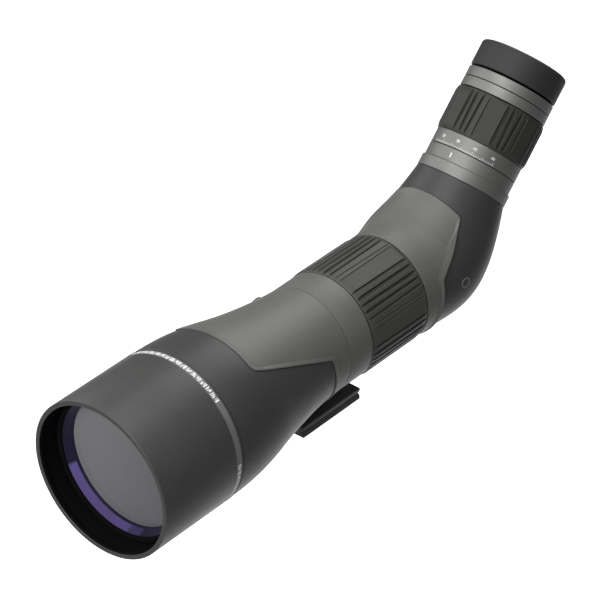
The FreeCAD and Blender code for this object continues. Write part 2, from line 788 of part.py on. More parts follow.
def housing_loft(name, depth, overrun=0.0):
    """The elbow's outer form, taken in by a depth all round."""
    tilt = SIZES["eyepiece_tilt"]
    elbow = size("elbow_station")
    upper = size("upper_height") * DIAGONAL
    shift = size("upper_shift") * DIAGONAL
    neck = (size("neck_height") + overrun) * DIAGONAL
    sections = [
        housing_circle(name + "_entry", size("housing_start") - overrun, as_size(0.0), 0.0,
                       size("entry_radius") - depth),
        housing_circle(name + "_throat", size("throat_station"), as_size(0.0), 0.0,
                       size("throat_radius") - depth),
        housing_circle(name + "_heel", elbow - 1.7, size("heel_rise"), tilt / 2,
                       size("heel_radius") - depth),
        housing_circle(name + "_upper", elbow + upper + shift, upper - shift, tilt,
                       size("upper_radius") - depth),
        housing_circle(name + "_neck", elbow + neck, neck, tilt, size("neck_radius") - depth)]
    loft = doc.addObject("Part::Loft", name)
    loft.Sections = sections
    loft.Solid = True
    loft.Ruled = False
    return loft


def cut(label, base, tool):
    """A boolean cut of two document objects."""
    result = doc.addObject("Part::Cut", label)
    result.Label = label
    result.Base = base
    result.Tool = tool
    return result


def side_slab(name, outline):
    """A slab right across the scope, with an outline of (station, height) corners."""
    sketch = doc.addObject("Sketcher::SketchObject", name + "_outline")
    sketch.Placement = FreeCAD.Placement(
        FreeCAD.Vector(0, -SIZES["thread_station"], SIZES["axis_height"]),
        FreeCAD.Rotation(0.5, 0.5, 0.5, 0.5))
    draw_outline(sketch, outline)
    slab = doc.addObject("Part::Extrusion", name)
    slab.Base = sketch
    slab.DirMode = "Normal"
    slab.Solid = True
    slab.Symmetric = True
    slab.LengthFwd = THROUGH
    return slab


def elbow_side(gap):
    """Side view of the grey region at the front of the elbow."""
    return [(220.0, -60.0), (220.0, 80.0), (266.4 - gap, 80.0), (278.9 - gap, 39.8),
            (279.2 - gap, 37.8), (278.4 - gap, 36.1), (252.9 - gap, 12.9), (251.6 - gap, 10.0),
            (247.6 - gap, -17.0), (244.0 - gap, -60.0)]


def make_prism_housing():
    """The cast elbow and the two skins that cover it."""
    skin = SIZES["armour_wall"]
    outer = housing_loft("elbow_outer", 0.0)
    sunk = housing_loft("elbow_sunk", SIZES["panel_sink"])
    middle = housing_loft("elbow_middle", skin)
    inner = housing_loft("elbow_inner", skin + SIZES["housing_wall"])
    PARTS.append(cut("prism_housing", housing_loft("elbow_casting", skin + SIZES["seat_gap"]), inner))
    grey_shell = cut("grey_shell", outer, middle)
    dark_shell = cut("dark_shell", sunk, housing_loft("elbow_dark_inner", skin))
    grey = doc.addObject("Part::Common", "prism_armour_grey")
    grey.Base = grey_shell
    grey.Tool = side_slab("grey_side", elbow_side(0.1))
    dark = cut("prism_armour_dark", dark_shell, side_slab("dark_side", elbow_side(-0.1)))
    for piece in (grey, dark):
        piece.Label = piece.Name
        PARTS.append(piece)


def make_prism():
    """The erecting prism, the frame it sits in and the strap and screws that hold it."""
    outline = [(252.0, -18.5), (252.0, 18.5), (277.0, 27.4), (300.6, 3.8), (286.0, -18.5)]
    prism = new_body("prism")
    sketch = new_sketch(prism, "prism_outline")
    draw_outline(sketch, outline)
    extrude(prism, "Pad", "prism_pad", sketch, 32.0)
    frame = new_body("prism_frame")
    turn(frame, "frame_flange", tube(242.1, 244.6, 20.0, 30.1))
    sketch = new_sketch(frame, "frame_floor_outline")
    draw_outline(sketch, [(244.0, -21.0), (244.0, -18.6), (286.0, -18.6), (286.0, -21.0)])
    extrude(frame, "Pad", "frame_floor", sketch, 36.4)
    sketch = new_sketch(frame, "frame_sides_outline")
    draw_outline(sketch, [(244.0, -21.0), (244.0, 10.0), (268.0, 18.0), (286.0, 10.0), (286.0, -21.0)])
    extrude(frame, "Pad", "frame_sides", sketch, 36.4)
    sketch = new_sketch(frame, "frame_inside_outline")
    draw_outline(sketch, [(244.6, -18.6), (244.6, 40.0), (320.0, 40.0), (320.0, -18.6)])
    extrude(frame, "Pocket", "frame_inside", sketch, 32.4)
    drilled(frame, "frame_screw_holes", "XZ_Plane", ring_places(*PRISM_SCREW_CIRCLE), 1.25, 10.0,
            both_ways=True, offset=-243.0)
    strap = new_body("prism_strap")
    sketch = new_sketch(strap, "strap_outline")
    draw_outline(sketch, [(258.0, 20.85), (257.7, 21.65), (269.4, 25.8), (269.7, 25.0)])
    extrude(strap, "Pad", "strap_pad", sketch, 30.0)
    make_prism_screws()


def make_prism_screws():
    """Three small screws that hold the prism frame to the rear barrel."""
    screws = new_body("prism_screws")
    for name, station, radius, length in (("heads", 246.2, 1.65, 1.6), ("shanks", 245.0, 1.2, 6.0)):
        sketch = new_sketch(screws, f"prism_screw_{name}_outline", "XZ_Plane", -station)
        for across, up in ring_places(*PRISM_SCREW_CIRCLE):
            draw_circle(sketch, across, up, radius)
        extrude(screws, "Pad", f"prism_screw_{name}", sketch, length, both_ways=False)


def ring_places(count, radius):
    """Centres spread evenly on a circle, the first one straight up."""
    return [(radius * math.sin(2 * math.pi * step / count), radius * math.cos(2 * math.pi * step / count))
            for step in range(count)]


# ---------------------------------------------------------------- eyepiece

def make_eyepiece_tube():
    """The fixed tube of the eyepiece with its rings."""
    outer = size("tube_radius")
    bore = size("tube_bore")
    neck = size("neck_height") + 0.05
    seat = outer + size("seat_gap")
    turned("eyepiece_tube", [
        (45.0, 24.6), (neck, 24.6), (neck, 26.0), (52.5, 26.0), (52.5, outer),
        (size("tube_top"), outer), (size("tube_top"), bore), (45.0, bore)], on_eyepiece_axis)
    ring = size("ring_radius")
    flange = size("flange_radius")
    turned("index_ring", [
        (neck + 0.05, flange - 0.3), (50.5, flange), (56.8, flange), (57.5, ring),
        (size("index_top") - 0.3, ring), (size("index_top"), ring - 0.3), (size("index_top"), seat),
        (52.55, seat), (52.55, 26.05), (neck + 0.05, 26.05)], on_eyepiece_axis)
    turned("zoom_stop_ring", bevelled(size("stop_bottom"), size("stop_top"), seat, ring, 0.3),
           on_eyepiece_axis)
    turned("eyecup_base_ring", bevelled(size("stop_top") + 0.4, size("base_top"), seat, ring, 0.4),
           on_eyepiece_axis)
    make_eye_lenses(bore)


def bevelled(start, end, inner, outer, bevel):
    """Outline of a ring with broken outer edges."""
    return [(start, outer - bevel), (start + bevel, outer), (end - bevel, outer), (end, outer - bevel),
            (end, inner), (start, inner)]


def make_eye_lenses(bore):
    """The fixed lenses: a field lens low in the tube and two lenses under the eyecup."""
    fitted = bore - size("seat_gap")
    lens("field_lens", on_eyepiece_axis, 47.0, 49.5, fitted, size("field_curve"), size("field_curve"))
    cell_radius = size("eye_lens_radius")
    turned("eye_lens_cell", [
        (108.0, fitted), (126.5, fitted), (126.5, 17.2), (125.0, 17.2), (125.0, cell_radius),
        (108.0, cell_radius)], on_eyepiece_axis)
    rim = cell_radius - size("seat_gap")
    lens("inner_eye_lens", on_eyepiece_axis, 110.5, 114.0, rim, size("eye_curve"), None)
    turned("eye_lens_spacer", tube(114.1, 117.9, 16.8, rim), on_eyepiece_axis)
    lens("outer_eye_lens", on_eyepiece_axis, 118.0, 122.5, rim, None, size("eye_curve"))


def make_zoom_ring():
    """The zoom ring: a metal scale ring whose core runs up under a rubber grip."""
    bottom = size("zoom_bottom")
    shelf = size("zoom_shelf")
    top = size("zoom_top")
    ring = size("ring_radius")
    core = size("zoom_core_radius")
    bore = size("tube_radius") + size("running_gap")
    turned("zoom_ring", [
        (bottom, ring - 0.2), (bottom + 0.2, ring), (shelf, ring), (shelf, core), (top, core),
        (top, bore), (bottom, bore)], on_eyepiece_axis)
    outer = size("flange_radius")
    grip = turned("zoom_grip", [
        (shelf + 0.1, ring + 0.1), (77.0, outer), (99.4, outer), (101.4, ring + 0.2),
        (top - 0.1, ring - 0.2), (top - 0.1, core + size("seat_gap")),
        (shelf + 0.1, core + size("seat_gap"))], on_eyepiece_axis)
    add_ribs(grip, as_size(78.5), as_size(98.0), outer)


def make_zoom_cells():
    """The two sliding lens cells that change the magnification."""
    outer = size("tube_bore") - size("running_gap")
    reach = size("zoom_lens_radius")
    bore = reach + size("seat_gap")
    for name, rest in (("zoom_front", size("zoom_front_rest")), ("zoom_rear", size("zoom_rear_rest"))):
        turned(name + "_cell", [
            (rest, outer), (rest + 8.0, outer), (rest + 8.0, bore), (rest + 1.2, bore),
            (rest + 1.2, reach - 1.2), (rest, reach - 1.2)], on_eyepiece_axis)
        lens(name + "_lens", on_eyepiece_axis, rest + 2.3, rest + 5.3, reach,
             size("zoom_curve"), size("zoom_curve"))


def make_eyecup():
    """The twist-up eyecup: a turning inner sleeve, a sliding outer sleeve and the rubber cup."""
    tube_run = size("tube_radius") + size("running_gap")
    cam = size("cam_radius")
    turned("eyecup_cam", tube(size("base_top") + 0.3, 126.8, tube_run, cam), on_eyepiece_axis)
    bottom = size("cup_bottom")
    sleeve_run = cam + size("running_gap")
    turned("eyecup_sleeve", tube(bottom + 0.1, 131.0, sleeve_run, 25.0), on_eyepiece_axis)
    top = size("cup_top")
    outer = size("ring_radius")
    turned("eyecup", [
        (bottom + 0.5, outer), (top - 2.2, outer, 2.6), (top, outer - 2.2), (top, 21.4),
        (top - 1.0, 20.6), (131.1, 20.6), (131.1, 25.05), (bottom, 25.05), (bottom, outer - 0.5)],
        on_eyepiece_axis)


# ---------------------------------------------------------------- build, check, write

def main():
    """Build every piece, check it and write one STEP file for each."""
    make_sunshade()
    make_objective()
    make_front_barrel()
    make_front_armour()
    make_foot()
    make_lock()
    make_rear_barrel()
    make_focus_ring()
    make_focus_lens()
    make_prism_housing()
    make_prism()
    make_eyepiece_tube()
    make_zoom_ring()
    make_zoom_cells()
    make_eyecup()
    doc.recompute()
    for item in doc.Objects:
        if "Invalid" in item.State or "Error" in item.State:
            raise RuntimeError(f"{item.Label} failed: {item.State}")
    for piece in PARTS:
        shape = piece.Shape
        if shape.isNull() or not shape.isValid() or shape.Volume <= 0:
            raise RuntimeError(f"{piece.Label} has no valid shape")
        print(f"{piece.Label:26s} solids {len(shape.Solids)}  volume {shape.Volume:12.1f} mm3")
    os.makedirs("parts", exist_ok=True)
    for piece in PARTS:
        piece.Shape.exportStep(f"parts/{piece.Label}.step")
    print(f"{len(PARTS)} pieces written")


main()
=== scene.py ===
import json
import math

import bmesh
import bpy
import numpy as np
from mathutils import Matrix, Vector


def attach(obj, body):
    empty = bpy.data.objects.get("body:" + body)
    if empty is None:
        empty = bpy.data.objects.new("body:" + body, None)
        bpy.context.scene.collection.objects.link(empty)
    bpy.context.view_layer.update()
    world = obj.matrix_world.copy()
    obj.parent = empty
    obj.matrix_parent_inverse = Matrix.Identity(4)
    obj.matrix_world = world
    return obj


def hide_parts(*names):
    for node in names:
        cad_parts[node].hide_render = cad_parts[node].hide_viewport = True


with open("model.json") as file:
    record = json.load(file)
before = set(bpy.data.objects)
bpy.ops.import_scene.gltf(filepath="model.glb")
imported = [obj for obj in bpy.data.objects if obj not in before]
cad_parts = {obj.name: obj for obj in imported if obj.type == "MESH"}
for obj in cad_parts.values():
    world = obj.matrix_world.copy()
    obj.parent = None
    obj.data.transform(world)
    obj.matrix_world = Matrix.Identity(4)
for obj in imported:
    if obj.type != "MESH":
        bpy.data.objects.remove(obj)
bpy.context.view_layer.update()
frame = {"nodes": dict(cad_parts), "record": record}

# All shapes below are in millimetres, along an axis and out from it, and are turned into metres when
# their meshes are made.  Stations on the main tube are counted from the rim of the sunshade.

MM = 0.001
RIM_Y = -170.0
AXIS_Z = 46.0
EYEPIECE_Y = 103.3
SLANT = math.sqrt(0.5)

HOOD_RADIUS = 47.7
HOOD_BORE = 45.8
HOOD_END = 61.8
BAND = (56.6, 61.0)
SHOULDER = 62.2
SWELL = ((67.0, 47.7), (108.0, 42.5), 175.0)
TAPER = ((108.0, 42.5), (169.0, 33.5), 339.0)
SEAM = 169.0
PANEL_SINK = 0.35
SKIN = 1.4
COLLAR = (169.15, 187.8)
FOCUS = (188.5, 237.3)
FOCUS_RADIUS = 34.3
ELBOW_KNOTS = (
    # station, height, radius and tilt in degrees of each round section
    (238.0, 0.0, 33.8, 0.0),
    (252.0, 0.1, 34.6, 4.0),
    (271.6, 2.6, 37.0, 22.5),
    (295.5, 20.2, 33.0, 45.0),
    (308.66, 35.36, 28.4, 45.0),
)
RING = 27.3
FLANGE = 28.3
LENS_FRONT = 13.4
LOCK_STATION = 163.0
LOCK_TILT = math.radians(24.0)
THREAD_STATION = 170.0
FOOT_SCREWS = (151.5, 161.5)
FOOT_HALF_WIDTH = 19.0
FOOT_THICKNESS = 7.7
PLATE_ENDS = ((144.5, 0.8), (145.0, 0.25), (145.5, 0.0), (194.5, 0.0), (195.0, 0.25), (195.5, 0.8))
NECK_ENDS = (146.5, 166.5)
BAND_FACE = 47.45
MARK_WIDTHS = (0.8, 0.45, 1.2, 0.6, 0.9)
MARK_GAPS = (0.6, 0.45, 1.2)
MARK_LOWS = (0.8, 1.0, 0.8, 1.6)
MARK_HIGHS = (3.6, 3.4, 2.8, 3.6)
MARKED_ARCS = ((128.0, 47.0), (0.0, -38.0), (232.0, 180.0))
ZOOM_TICKS = 31
ZOOM_ARC = (122.6, 35.8)
ZOOM_FIGURES = (("20", 112.3), ("30", 87.8), ("40", 63.8), ("60", 38.6))
BADGE_SPINE = 31.5
BADGE_ANGLE = math.radians(3.0)
KNOB_FLUTES = 16
ROUND_STEPS = 256
FINE_STEPS = 192


# ------------------------------------------------------------------ places

def on_main(along, angle, out):
    """A point round the main axis, at an angle from the scope's left side towards the top."""
    return np.stack(np.broadcast_arrays(
        out * np.cos(angle), along + RIM_Y, AXIS_Z + out * np.sin(angle)), axis=-1)


def on_eyepiece(along, angle, out):
    """A point round the eyepiece axis, which leaves the main axis at 45 degrees."""
    up = out * np.sin(angle)
    return np.stack(np.broadcast_arrays(
        out * np.cos(angle), EYEPIECE_Y + (along - up) * SLANT, AXIS_Z + (along + up) * SLANT), axis=-1)


def on_lock(along, angle, out):
    """A point round the lock screw, which stands out high on the scope's right side."""
    lean, climb = math.cos(LOCK_TILT), math.sin(LOCK_TILT)
    side = out * np.sin(angle)
    return np.stack(np.broadcast_arrays(
        side * climb - along * lean, LOCK_STATION + RIM_Y + out * np.cos(angle),
        AXIS_Z + along * climb + side * lean), axis=-1)


def under_foot(station):
    """Places round an upright axis through the foot, counted up from its underside."""
    def place(along, angle, out):
        return np.stack(np.broadcast_arrays(
            out * np.cos(angle), station + RIM_Y + out * np.sin(angle), along + 0.0), axis=-1)
    return place


# ------------------------------------------------------------------ meshes

def add_mesh(name, points, faces, sharp=30.0):
    """A shaded mesh object from points in millimetres."""
    mesh = bpy.data.meshes.new(name)
    mesh.from_pydata((np.asarray(points) * MM).tolist(), [], faces)
    mesh.update()
    shape = bmesh.new()
    shape.from_mesh(mesh)
    bmesh.ops.recalc_face_normals(shape, faces=shape.faces)
    shape.to_mesh(mesh)
    shape.free()
    mesh.shade_smooth()
    mesh.set_sharp_from_angle(angle=math.radians(sharp))
    obj = bpy.data.objects.new(name, mesh)
    bpy.context.scene.collection.objects.link(obj)
    return obj


def grid_faces(rows, columns, ring_columns, ring_rows=False):
    """Quads of a grid whose columns, and rows if asked, close on themselves."""
    faces = []
    for row in range(rows if ring_rows else rows - 1):
        for column in range(columns if ring_columns else columns - 1):
            after = (column + 1) % columns
            above = (row + 1) % rows
            faces.append((row * columns + column, row * columns + after,
                          above * columns + after, above * columns + column))
    return faces


def patch(name, points, ring_columns=True, ring_rows=False, sharp=30.0):
    """A mesh through a grid of points, rows first."""
    rows, columns = points.shape[:2]
    return add_mesh(name, points.reshape(-1, 3), grid_faces(rows, columns, ring_columns, ring_rows), sharp)


def rounded(outline, size, steps=4):
    """A closed outline with its corners rounded off."""
    result = []
    count = len(outline)
    for index in range(count):
        before, corner, after = (np.array(outline[(index + shift) % count], float) for shift in (-1, 0, 1))
        back, ahead = before - corner, after - corner
        reach = min(size, 0.45 * np.linalg.norm(back), 0.45 * np.linalg.norm(ahead))
        first = corner + back / np.linalg.norm(back) * reach
        last = corner + ahead / np.linalg.norm(ahead) * reach
        for share in np.linspace(0.0, 1.0, steps):
            result.append((1 - share) ** 2 * first + 2 * share * (1 - share) * corner + share ** 2 * last)
    return result


def lathe(name, outline, place=on_main, edge=0.25, steps=ROUND_STEPS):
    """A turned solid from a closed outline of (along, out) corners."""
    profile = np.array(rounded(outline, edge) if edge else outline)
    angles = np.linspace(0.0, 2 * math.pi, steps, endpoint=False)
    points = place(profile[:, :1], angles[None, :], profile[:, 1:])
    return patch(name, points, ring_rows=True)


def block(place, along, angles, out, lift):
    """Points and faces of a small raised mark that follows a round surface."""
    spread = np.radians(np.linspace(angles[0], angles[1], 5))
    under, over = out - 0.05, out + lift
    section = np.array([(along[0], under), (along[0], over), (along[1], over), (along[1], under)])
    points = place(section[None, :, 0], spread[:, None], section[None, :, 1])
    faces = grid_faces(5, 4, True)
    faces += [(0, 1, 2, 3), (16, 17, 18, 19)]
    return points.reshape(-1, 3), faces


def join_blocks(name, blocks):
    """One mesh from many small blocks."""
    points, faces = [], []
    for block_points, block_faces in blocks:
        shift = sum(len(p) for p in points)
        points.append(block_points)
        faces += [tuple(index + shift for index in face) for face in block_faces]
    return add_mesh(name, np.concatenate(points), faces)


def wrapped_text(words, place, along, angle, out, height):
    """Points and faces of raised figures laid round a cylinder."""
    curve = bpy.data.curves.new("figures_" + words, "FONT")
    curve.body = words
    curve.size = height
    curve.align_x = "CENTER"
    curve.align_y = "CENTER"
    curve.extrude = 0.04
    carrier = bpy.data.objects.new("figures_" + words, curve)
    bpy.context.scene.collection.objects.link(carrier)
    bpy.context.view_layer.update()
    mesh = bpy.data.meshes.new_from_object(carrier)
    flat = np.array([vertex.co for vertex in mesh.vertices], float).reshape(-1, 3)
    faces = [tuple(polygon.vertices) for polygon in mesh.polygons]
    bpy.data.objects.remove(carrier)
    bpy.data.meshes.remove(mesh)
    points = place(along + flat[:, 1], math.radians(angle) - flat[:, 0] / out, out + flat[:, 2])
    return points, faces


# ------------------------------------------------------------------ materials

def node(tree, kind, **settings):
    """A shader node with its inputs set by name."""
    made = tree.nodes.new(kind)
    for key, value in settings.items():
        if key in made.inputs:
            made.inputs[key].default_value = value
        else:
            setattr(made, key, value)
    return made


def shade(name):
    """An empty node material with its shader and output."""
    material = bpy.data.materials.new(name)
    material.use_nodes = True
    tree = material.node_tree
    return material, tree, tree.nodes["Principled BSDF"]


def grey(level, tint=(1.0, 1.0, 1.0)):
    """A linear colour from a brightness and a slight tint."""
    return (level * tint[0], level * tint[1], level * tint[2], 1.0)


def mottled(name, light, dark, rough, bump=0.06, metal=0.0, specular=0.5):
    """A surface with a fine grain, soft clouds of colour and uneven gloss."""
    material, tree, shader = shade(name)
    link = tree.links.new
    spot = node(tree, "ShaderNodeTexCoord")
    clouds = node(tree, "ShaderNodeTexNoise", Scale=60.0, Detail=4.0, Roughness=0.6)
    fine = node(tree, "ShaderNodeTexNoise", Scale=2600.0, Detail=3.0, Roughness=0.7)
    link(spot.outputs["Object"], clouds.inputs["Vector"])
    link(spot.outputs["Object"], fine.inputs["Vector"])
    blend = node(tree, "ShaderNodeMath", operation="MULTIPLY_ADD")
    link(fine.outputs["Fac"], blend.inputs[0])
    blend.inputs[1].default_value = 0.45
    link(clouds.outputs["Fac"], blend.inputs[2])
    ramp = node(tree, "ShaderNodeValToRGB")
    ramp.color_ramp.elements[0].position = 0.4
    ramp.color_ramp.elements[0].color = dark
    ramp.color_ramp.elements[1].position = 1.0
    ramp.color_ramp.elements[1].color = light
    link(blend.outputs[0], ramp.inputs["Fac"])
    link(ramp.outputs["Color"], shader.inputs["Base Color"])
    gloss = node(tree, "ShaderNodeMapRange")
    link(clouds.outputs["Fac"], gloss.inputs["Value"])
    gloss.inputs["To Min"].default_value = rough - 0.05
    gloss.inputs["To Max"].default_value = rough + 0.05
    link(gloss.outputs["Result"], shader.inputs["Roughness"])
    relief = node(tree, "ShaderNodeBump", Strength=bump, Distance=0.0002)
    link(fine.outputs["Fac"], relief.inputs["Height"])
    link(relief.outputs["Normal"], shader.inputs["Normal"])
    shader.inputs["Metallic"].default_value = metal
    shader.inputs["Specular IOR Level"].default_value = specular
    return material


def brushed(name, light, dark, rough, axis):
    """Anodised metal with fine turning lines square to an axis."""
    material, tree, shader = shade(name)
    link = tree.links.new
    spot = node(tree, "ShaderNodeTexCoord")
    along = node(tree, "ShaderNodeVectorMath", operation="DOT_PRODUCT")
    along.inputs[1].default_value = axis
    link(spot.outputs["Object"], along.inputs[0])
    lines = node(tree, "ShaderNodeTexNoise", noise_dimensions="1D", Scale=5200.0, Detail=3.0, Roughness=0.8)
    link(along.outputs["Value"], lines.inputs["W"])
    clouds = node(tree, "ShaderNodeTexNoise", Scale=90.0, Detail=3.0)
    link(spot.outputs["Object"], clouds.inputs["Vector"])
    ramp = node(tree, "ShaderNodeValToRGB")
    ramp.color_ramp.elements[0].position = 0.3
    ramp.color_ramp.elements[0].color = dark
    ramp.color_ramp.elements[1].position = 0.75
    ramp.color_ramp.elements[1].color = light
    link(lines.outputs["Fac"], ramp.inputs["Fac"])
    link(ramp.outputs["Color"], shader.inputs["Base Color"])
    gloss = node(tree, "ShaderNodeMapRange")
    link(clouds.outputs["Fac"], gloss.inputs["Value"])
    gloss.inputs["To Min"].default_value = rough - 0.06
    gloss.inputs["To Max"].default_value = rough + 0.06
    link(gloss.outputs["Result"], shader.inputs["Roughness"])
    relief = node(tree, "ShaderNodeBump", Strength=0.25, Distance=0.0001)
    link(lines.outputs["Fac"], relief.inputs["Height"])
    link(relief.outputs["Normal"], shader.inputs["Normal"])
    shader.inputs["Metallic"].default_value = 0.75
    return material


def clear_glass(name):
    """Coated glass seen as a faint violet sheen over what is behind it."""
    material, tree, shader = shade(name)
    link = tree.links.new
    tree.nodes.remove(shader)
    output = tree.nodes["Material Output"]
    clear = node(tree, "ShaderNodeBsdfTransparent", Color=(0.97, 0.97, 1.0, 1.0))
    shine = node(tree, "ShaderNodeBsdfGlossy", Color=(0.52, 0.45, 0.70, 1.0), Roughness=0.03)
    spot = node(tree, "ShaderNodeTexCoord")
    clouds = node(tree, "ShaderNodeTexNoise", Scale=30.0, Detail=2.0)
    link(spot.outputs["Object"], clouds.inputs["Vector"])
    gloss = node(tree, "ShaderNodeMapRange")
    link(clouds.outputs["Fac"], gloss.inputs["Value"])
    gloss.inputs["To Min"].default_value = 0.02
    gloss.inputs["To Max"].default_value = 0.05
    link(gloss.outputs["Result"], shine.inputs["Roughness"])
    edge = node(tree, "ShaderNodeFresnel", IOR=1.25)
    mix = node(tree, "ShaderNodeMixShader")
    link(edge.outputs["Fac"], mix.inputs["Fac"])
    link(clear.outputs["BSDF"], mix.inputs[1])
    link(shine.outputs["BSDF"], mix.inputs[2])
    link(mix.outputs["Shader"], output.inputs["Surface"])
    return material


def painted_sheen_disc(name):
    """A painted grey sheen over the second lens, lighter towards the scope's right side, with a faint painted
    glow.
    """
    material, tree, shader = shade(name)
    link = tree.links.new
    spot = node(tree, "ShaderNodeTexCoord")
    parts = node(tree, "ShaderNodeSeparateXYZ")
    link(spot.outputs["Object"], parts.inputs["Vector"])
    across = node(tree, "ShaderNodeMapRange")
    across.inputs["From Min"].default_value = -40.0 * MM
    across.inputs["From Max"].default_value = 40.0 * MM
    link(parts.outputs["X"], across.inputs["Value"])
    clouds = node(tree, "ShaderNodeTexNoise", Scale=20.0, Detail=2.0)
    link(spot.outputs["Object"], clouds.inputs["Vector"])
    blend = node(tree, "ShaderNodeMath", operation="MULTIPLY_ADD")
    link(clouds.outputs["Fac"], blend.inputs[0])
    blend.inputs[1].default_value = 0.08
    link(across.outputs["Result"], blend.inputs[2])
    ramp = node(tree, "ShaderNodeValToRGB")
    # painted sheen: lighter towards the scope's right side, darker towards its left
    ramp.color_ramp.elements[0].color = grey(0.110, (1.0, 1.0, 0.97))
    ramp.color_ramp.elements[1].color = grey(0.060, (1.0, 1.0, 0.99))
    link(blend.outputs[0], ramp.inputs["Fac"])
    link(ramp.outputs["Color"], shader.inputs["Base Color"])
    # painted glow: the disc gives off a faint light of its own
    link(ramp.outputs["Color"], shader.inputs["Emission Color"])
    shader.inputs["Emission Strength"].default_value = 0.2
    return material


def violet_edge(name):
    """The dark violet rim of the front lens group, with a painted reflection brighter over a patch low on the
    right side and a faint painted glow.
    """
    material, tree, shader = shade(name)
    link = tree.links.new
    spot = node(tree, "ShaderNodeTexCoord")
    parts = node(tree, "ShaderNodeSeparateXYZ")
    link(spot.outputs["Object"], parts.inputs["Vector"])
    height = node(tree, "ShaderNodeMath", operation="SUBTRACT")
    link(parts.outputs["Z"], height.inputs[0])
    height.inputs[1].default_value = AXIS_Z * MM
    angle = node(tree, "ShaderNodeMath", operation="ARCTAN2")
    link(height.outputs[0], angle.inputs[0])
    link(parts.outputs["X"], angle.inputs[1])
    ramp = node(tree, "ShaderNodeValToRGB")
    scale = node(tree, "ShaderNodeMapRange")
    link(angle.outputs[0], scale.inputs["Value"])
    scale.inputs["From Min"].default_value = -math.pi
    scale.inputs["From Max"].default_value = math.pi
    link(scale.outputs["Result"], ramp.inputs["Fac"])
    # painted reflection: a dim violet rim with a lit patch low on the right side
    dim, lit = (0.013, 0.010, 0.024, 1), (0.075, 0.055, 0.15, 1)
    stops = [(0.0, (0.012, 0.009, 0.025, 1)), (0.064, dim), (0.068, (0.09, 0.07, 0.20, 1)), (0.17, lit),
             (0.262, lit), (0.268, (0.04, 0.032, 0.08, 1)), (0.30, (0.04, 0.032, 0.085, 1)), (0.305, dim),
             (0.85, dim)]
    ramp.color_ramp.elements[0].position, ramp.color_ramp.elements[0].color = stops[0]
    ramp.color_ramp.elements[1].position, ramp.color_ramp.elements[1].color = stops[-1]
    for position, colour in stops[1:-1]:
        ramp.color_ramp.elements.new(position).color = colour
    clouds = node(tree, "ShaderNodeTexNoise", Scale=140.0, Detail=4.0)
    link(spot.outputs["Object"], clouds.inputs["Vector"])
    mixed = node(tree, "ShaderNodeMixRGB", blend_type="MULTIPLY")
    mixed.inputs["Fac"].default_value = 0.4
    link(ramp.outputs["Color"], mixed.inputs["Color1"])
    link(clouds.outputs["Fac"], mixed.inputs["Color2"])
    link(mixed.outputs["Color"], shader.inputs["Base Color"])
    # painted glow: the rim gives off a faint light of its own
    link(mixed.outputs["Color"], shader.inputs["Emission Color"])
    shader.inputs["Emission Strength"].default_value = 0.45
    shader.inputs["Roughness"].default_value = 0.35
    return material


def make_materials():
    """One finish for each material slot of the record, and a few more for single surfaces."""
    warm = (1.0, 1.0, 0.93)
    pale = (1, 0.99, 0.96)
    tilted = (0.0, SLANT, SLANT)
    return {
        "hood_paint": mottled("hood_paint", grey(0.030, (1, 1, 0.96)), grey(0.025), 0.42, specular=0.22),
        "silver_print": mottled("silver_print", grey(0.55), grey(0.42), 0.45, bump=0.02),
        "inner_black": mottled("inner_black", grey(0.002), grey(0.001), 0.9, specular=0.06),
        "lens_glass": clear_glass("lens_glass"),
        "seal_rubber": mottled("seal_rubber", grey(0.02), grey(0.015), 0.7),
        "guide_felt": mottled("guide_felt", grey(0.02), grey(0.01), 0.95, bump=0.5),
        "bush_brass": mottled("bush_brass", (0.55, 0.38, 0.14, 1), (0.45, 0.3, 0.1, 1), 0.35, metal=1.0),
        "dark_armour": mottled("dark_armour", grey(0.026, (1, 1, 0.98)), grey(0.022), 0.42, specular=0.22),
        "grey_armour": mottled("grey_armour", grey(0.068, warm), grey(0.060, warm), 0.48, specular=0.3),
        "black_anodised": mottled("black_anodised", grey(0.052), grey(0.036), 0.45, specular=0.35),
        "screw_steel": mottled("screw_steel", grey(0.35), grey(0.25), 0.35, metal=1.0),
        "tip_nylon": mottled("tip_nylon", grey(0.5), grey(0.42), 0.6),
        "grip_rubber": mottled(
            "grip_rubber", grey(0.033, warm), grey(0.027, warm), 0.45, bump=0.15, specular=0.22),
        "zoom_rubber": mottled(
            "zoom_rubber", grey(0.022, warm), grey(0.016, warm), 0.5, bump=0.15, specular=0.2),
        "ring_metal": brushed("ring_metal", grey(0.17, pale), grey(0.09, pale), 0.5, tilted),
        "cup_rubber": mottled("cup_rubber", grey(0.014), grey(0.011), 0.6, bump=0.12, specular=0.25),
        "violet_edge": violet_edge("violet_edge"),
        "violet_shade": mottled("violet_shade", (0.015, 0.011, 0.028, 1), (0.010, 0.007, 0.020, 1), 0.35),
        "lens_back": painted_sheen_disc("lens_back"),
        "band_grey": mottled("band_grey", grey(0.085), grey(0.065), 0.4),
    }


MATERIALS = make_materials()


def dress(obj, slot, body, *nodes, finish=None):
    """Give a piece its finish and the body it rides on, and hide the frame pieces it stands for."""
    obj.data.materials.clear()
    obj.data.materials.append(MATERIALS[finish or slot])
    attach(obj, body)
    if nodes:
        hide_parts(*nodes)
    return obj


def dress_inside(obj, finish, test):
    """Give the faces that pass a test a second finish."""
    obj.data.materials.append(MATERIALS[finish])
    for face in obj.data.polygons:
        if test(face.center / MM):
            face.material_index = 1


# ------------------------------------------------------------------ sunshade and objective

